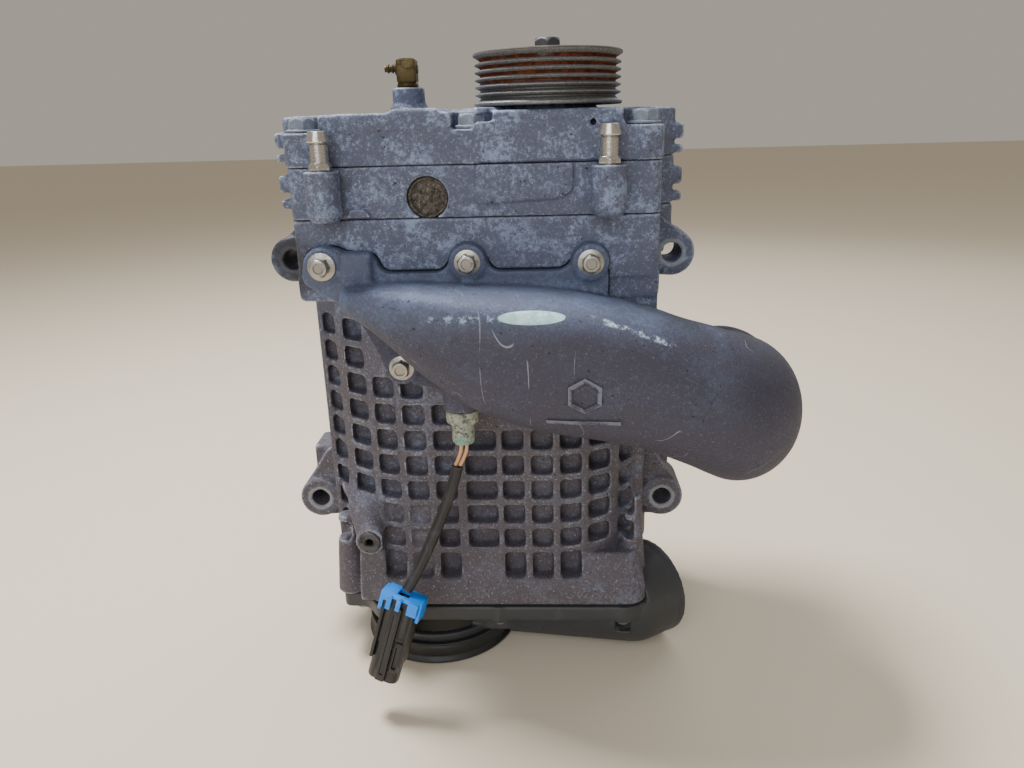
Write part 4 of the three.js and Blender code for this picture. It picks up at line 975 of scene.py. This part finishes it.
def makePulleyBolt():
    x, y = gearCase["pulley"]
    z = pulley["top"] + 0.3
    body = turnedPiece([(0, 322.8), (5, 322.8), (5, z), (7.4, z), (7.4, z + 0.9), (6.7, z + 1.3),
                        (0, z + 1.3)], (x, y), 64)
    joined(body, hexHead(x, y, z + 1, z + 6.4, 12.6))
    cut(body, rod((x, y, z + 5.6), (x, y, z + 8), 3.6, 4.4, sides=40))
    smooth(body)
    return shown(body, "pulleyBolt", "darkSteel", "blackened_steel", "input", "pulley_bolt")


makePulley()
makePulleyBolt()
print("pulley ready")

# ---- bolts, modelled once each and copied
boltKinds = {
    "case": {"across": 12, "flange": 8.4, "head": 6.8, "shank": 4, "length": 36},
    "duct": {"across": 8.6, "flange": 7.1, "head": 6.4, "shank": 3, "length": 19},
    "tray": {"across": 7, "flange": 4.1, "head": 3.6, "shank": 2.5, "length": 18},
}


def makeBolt(kind):  # head towards +Z, seat at height 0, on the drawing's own origin
    sizes = boltKinds[kind]
    flange, head, shank, length = (sizes[k] for k in ("flange", "head", "shank", "length"))
    lip = min(1.6, head * 0.3)
    body = turnedPiece([(0, -length), (shank - 0.5, -length), (shank, -length + 0.6), (shank, 0),
                        (flange - 0.3, 0),
                        (flange, 0.35), (flange, lip * 0.6), (sizes["across"] * 0.52, lip), (0, lip)],
                       casingShift, 48)
    joined(body, hexHead(*casingShift, lip - 0.3, head, sizes["across"]))
    cut(body, rod((*casingShift, head - 0.7), (*casingShift, head + 1), sizes["across"] * 0.28,
                  sizes["across"] * 0.36, sides=40))
    return smooth(body)


boltTurn = {"first": 0.4, "step": 0.9}  # radians, so that no two heads sit alike


def placedBolts(kind, spots, turn, name, finish, slotName, nodeName):
    model = makeBolt(kind)
    for i, spot in enumerate(spots):
        facing = Matrix.Rotation(boltTurn["first"] + boltTurn["step"] * i, 4, "Z")
        move = Matrix.Translation(at(*spot) - at(*casingShift, 0)) @ turn @ facing
        piece = copyOf(model, move, f"{name}{i + 1}")
        shown(piece, f"{name}{i + 1}", finish, slotName, "casing", f"{nodeName}_{i + 1}")
    bpy.data.objects.remove(model)


ductFace = housing["seatY"] - duct["gasket"] - 2 * duct["gap"] - duct["flange"] - duct["gap"]
ductSpots = [(x, ductFace - (duct["padRise"] if i == 0 else 0), z) for i, (x, z) in enumerate(ductBolts)]
placedBolts("duct", ductSpots, Matrix.Rotation(pi / 2, 4, "X"), "ductBolt", "zincPlate", "zinc_bolt",
            "duct_bolt")
coverSpots = [(x, y, 308.7) for x, y in coverBolts]
placedBolts("case", coverSpots, Matrix.Identity(4), "coverBolt", "paintedBolt", "zinc_bolt", "cover_bolt")
traySpots = [(x, y, 30.4) for x, y in screwPlaces]
placedBolts("tray", traySpots, Matrix.Rotation(pi, 4, "X"), "trayScrew", "zincPlate", "zinc_bolt",
            "intake_screw")
print("bolts ready")

# ---- small fittings
def makeBarb(x, y, name, node):
    z = 291.1
    body = turnedPiece([(2.8, z - 8), (3.6, z - 8), (3.6, z), (4.4, z), (4.4, z + 11.9), (4.0, z + 12.2),
                        (4.0, z + 12.8),
                        (5.5, z + 13.0), (5.7, z + 13.4), (5.4, z + 14.4), (4.4, z + 18.0), (4.1, z + 18.2),
                        (2.8, z + 18.2)], (x, y), 64, closed=True)
    nut = hexHead(x, y, z, z + 3.6, 10.2)
    cut(nut, rod((x, y, z - 1), (x, y, z + 5), 3.9))
    joined(body, nut)
    smooth(body)
    return shown(body, name, "nickelPlate", "nickel_barb", "casing", node)


def makeElbow():
    x, y = gearCase["oil"]
    z = gearCase["oilTop"] + 0.3
    arm = z + 9
    body = block((x - 5, y - 5, z + 2), (x + 5, y + 5, z + 13.4), 1.1, 2)
    solids = [hexHead(x, y, z, z + 2.6, 10.2), rod((x, y, z - 9), (x, y, z + 1), 3),
              rod((x, y, z + 12), (x, y, z + 13.7), 4.2, 3.8),
              rod((x, y, arm), (x - 11.4, y, arm), 1.5),
              rod((x - 4, y, arm), (x - 6, y, arm), 3.6, 3.1, bevel=0.3),
              rod((x - 7, y, arm), (x - 8.5, y, arm), 2.3, 1.6),
              rod((x - 9.2, y, arm), (x - 10.6, y, arm), 2.3, 1.6),
              rod((x + 4.6, y, arm - 0.5), (x + 5.6, y, arm - 0.5), 2.2, bevel=0.2)]
    joined(body, *solids)
    cut(body, rod((x - 13, y, arm), (x - 3, y, arm), 0.7, sides=24))
    smooth(body)
    return shown(body, "oilElbow", "agedBrass", "brass", "casing", "oil_elbow")


def upright(piece, x, y, z):  # a piece turned about an upright line, laid along -Y at its place
    turn = Matrix.Rotation(pi / 2, 4, "X")
    piece.data.transform(Matrix.Translation(at(x, y, z) - at(*casingShift, 0)) @ turn)
    return piece


def makeCorePlug():
    x, z = gearCase["plug"][:2]
    cup = turnedPiece([(0, -5), (9.2, -5), (10, -4.4), (10, -0.4), (9.7, 0), (9.0, 0), (8.5, -0.6),
                       (8.3, -1.7),
                       (5.2, -1.9), (4.6, -1.6), (0, -1.5)], casingShift, 96, bevel=0.2)
    smooth(cup)
    upright(cup, x, -37.5, z)
    return shown(cup, "corePlug", "plugRust", "rusty_steel", "casing", "core_plug")


def makeInsert():
    x, z = housing["insert"]
    nut = turnedPiece([(2, -10), (3.9, -10.5), (3.9, -0.3), (6.4, -0.3), (6.4, 0.9), (5.9, 1.25),
                       (3.2, 1.25), (2.4, 0.6),
                       (2, 0)], casingShift, 64, bevel=0.15, closed=True)
    smooth(nut)
    upright(nut, x, -41.2, z)
    return shown(nut, "portInsert", "darkSteel", "blackened_steel", "casing", "port_insert")


def makeSensor():
    x, y, top = -7.5, -55, 171
    body = turnedPiece([(0, top - 18), (4.9, top - 19), (5.9, top - 18), (5.9, top - 9), (6.4, top - 8.4),
                        (6.4, top - 7), (8.2, top - 7), (8.6, top - 6.2), (8.6, top - 0.4), (8.2, top),
                        (4.6, top),
                        (4.6, top + 9), (0, top + 9)], (x, y), 64)
    applied(body, "REMESH", mode="VOXEL", voxel_size=0.00035)
    applied(body, "SMOOTH", factor=0.5, iterations=2)
    crust = bpy.data.textures.new("crust", "CLOUDS")
    crust.noise_scale = 0.0022
    crust.noise_depth = 3
    applied(body, "DISPLACE", texture=crust, strength=0.0005, mid_level=0.62)
    applied(body, "DECIMATE", ratio=0.5)
    smooth(body, 60)
    return shown(body, "temperatureSensor", "sensorMetal", "sensor_metal", "casing", "temperature_sensor")


for i, (x, y) in enumerate(gearCase["barbs"]):
    side = ("Left", "Right")[i]
    makeBarb(x, y, "hoseBarb" + side, "hose_barb_" + side.lower())
makeElbow()
makeCorePlug()
makeInsert()
makeSensor()
print("fittings ready")

# ---- plug on the sensor cable, drawn along its own length
plug = {"top": (-40.6, -75.6, 73.4), "bottom": (-55.6, -80.6, 23.4), "across": (0.94, -0.2, 0)}


def plugMatrix():
    along = (Vector(plug["bottom"]) - Vector(plug["top"])).normalized()
    across = Vector(plug["across"])
    across = (across - along * across.dot(along)).normalized()
    front = across.cross(along)
    return Matrix.Translation(at(*plug["top"])) @ Matrix((across, front, along)).transposed().to_4x4()


def plugBlock(down, across, depth, bevel=0.6):
    x, y = casingShift
    return block((x + across[0], y + depth[0], down[0]), (x + across[1], y + depth[1], down[1]), bevel)


def plugShell(width, depth, low, high, corner):
    x, y = casingShift
    outline = [(x - width, y - depth), (x + width, y - depth), (x + width, y + depth), (x - width, y + depth)]
    return slab(outline, low, high, corner, bevel=0.5)


def makeConnector():
    body = plugShell(9.5, 5.5, 3, 30, 4.4)
    joined(body, plugShell(8.8, 5.1, 29, 52, 4.6), plugBlock((6, 51), (-2.6, 2.6), (-7.6, 4)),
           plugBlock((26, 44), (3.4, 8.2), (-6.4, 0)), plugBlock((4, 40), (-9.3, -7.4), (-5.9, 5.9), 0.5),
           plugBlock((4, 40), (7.4, 9.3), (-5.9, 5.9), 0.5))
    cut(body, plugBlock((44, 56), (-7.2, 7.2), (-3.5, 3.5), 1),
        plugBlock((10, 47), (-1.1, 1.1), (-9, -6.6), 0.3),
        plugBlock((28.5, 42), (4.6, 7.0), (-9, -4.6), 0.5), plugBlock((8, 24), (3.6, 6.4), (-9, -4.9), 0.4),
        plugBlock((8, 46), (-6.6, -3.9), (-9, -5.0), 0.4), plugBlock((2, 9), (-6, -1), (-3, 3), 1),
        plugBlock((2, 9), (1, 6), (-3, 3), 1))
    smooth(body)
    body.data.transform(plugMatrix())
    return shown(body, "connectorBody", "plugPlastic", "black_plastic", "casing", "connector_body")


def makeLock():
    body = plugBlock((0.2, 2.7), (-10.5, 10.5), (-6, 6), 0.5)
    joined(body, plugBlock((0.3, 12), (-12, -9.9), (-5, 5), 0.8),
           plugBlock((0.3, 12), (9.9, 12), (-5, 5), 0.8),
           plugBlock((0.4, 9), (-10.6, -4.4), (-7.2, -5.7), 0.5),
           plugBlock((0.4, 8), (4.8, 10.6), (-7.4, -6.5), 0.4),
           plugBlock((0.4, 7), (-1.2, 1.4), (-8.9, -7.9), 0.3),
           plugBlock((0.3, 2.6), (-1.2, 1.4), (-8.9, -5), 0.3))
    cut(body, plugBlock((-1, 4), (-3.4, 3.4), (-3.4, 3.4), 0.6),
        plugBlock((4, 9.6), (-9, -7.2), (-9, -5), 0.3))
    smooth(body)
    body.data.transform(plugMatrix())
    return shown(body, "connectorLock", "lockPlastic", "blue_plastic", "casing", "connector_lock")


connectorBody = makeConnector()
connectorLock = makeLock()
tuple(at(-7.5, -55.2, 152.4))
print("plug ready")

# ---- pieces kept from the frame, with their finishes
kept = {
    "groundSteel": ["input_shaft", "drive_gear", "pinion", "male_timing_gear", "female_timing_gear",
                    "male_lower_bearing", "male_upper_bearing", "female_lower_bearing",
                    "female_upper_bearing",
                    "input_lower_bearing", "input_upper_bearing", "dowel_pin_1", "dowel_pin_2"],
    "rotorCoat": ["male_rotor", "female_rotor"],
    "gasketFibre": ["duct_gasket"],
    "ringRubber": ["intake_gasket", "shaft_seal"],
}
for finish, names in kept.items():
    for name in names:
        node = bpy.data.objects[name]
        node.data.materials.clear()
        node.data.materials.append(finishes[finish])


# ---- floor and light
def addStage():
    nothingSelected()
    bpy.ops.mesh.primitive_plane_add(size=12, location=(0, 2, 0))
    floor = bpy.context.object
    floor.name = "floor"
    paper = Finish("floorPaper", 0.85)
    paper.shader.inputs["Base Color"].default_value = tint(226, 214, 194)
    floor.data.materials.append(paper.material)


lamps = {
    "key": {"spot": (-0.42, 0.2, 1.3), "aim": (0.02, 0, 0.12), "size": 0.32, "power": 26,
            "colour": (1, 0.98, 0.95)},
    "fill": {"spot": (-0.35, -1.5, 0.9), "aim": (0, 0, 0.2), "size": 1.2, "power": 15,
             "colour": (0.95, 0.97, 1)},
    "rim": {"spot": (0.5, 1.0, 1.1), "aim": (0, 0, 0.2), "size": 1.2, "power": 6, "colour": (0.9, 0.95, 1)},
}


def addLamps():
    for name, facts in lamps.items():
        data = bpy.data.lights.new(name, "AREA")
        data.size, data.energy, data.color = facts["size"], facts["power"], facts["colour"]
        lamp = bpy.data.objects.new(name, data)
        bpy.context.scene.collection.objects.link(lamp)
        way = Vector(facts["aim"]) - Vector(facts["spot"])
        lamp.matrix_world = Matrix.Translation(facts["spot"]) @ way.to_track_quat("-Z",
                                                                                  "Y").to_matrix().to_4x4()
    world = bpy.data.worlds.new("studio")
    world.use_nodes = True
    back = world.node_tree.nodes["Background"]
    back.inputs["Color"].default_value = tint(232, 224, 210)
    back.inputs["Strength"].default_value = 0.5
    bpy.context.scene.world = world


addStage()
addLamps()
print("stage ready")
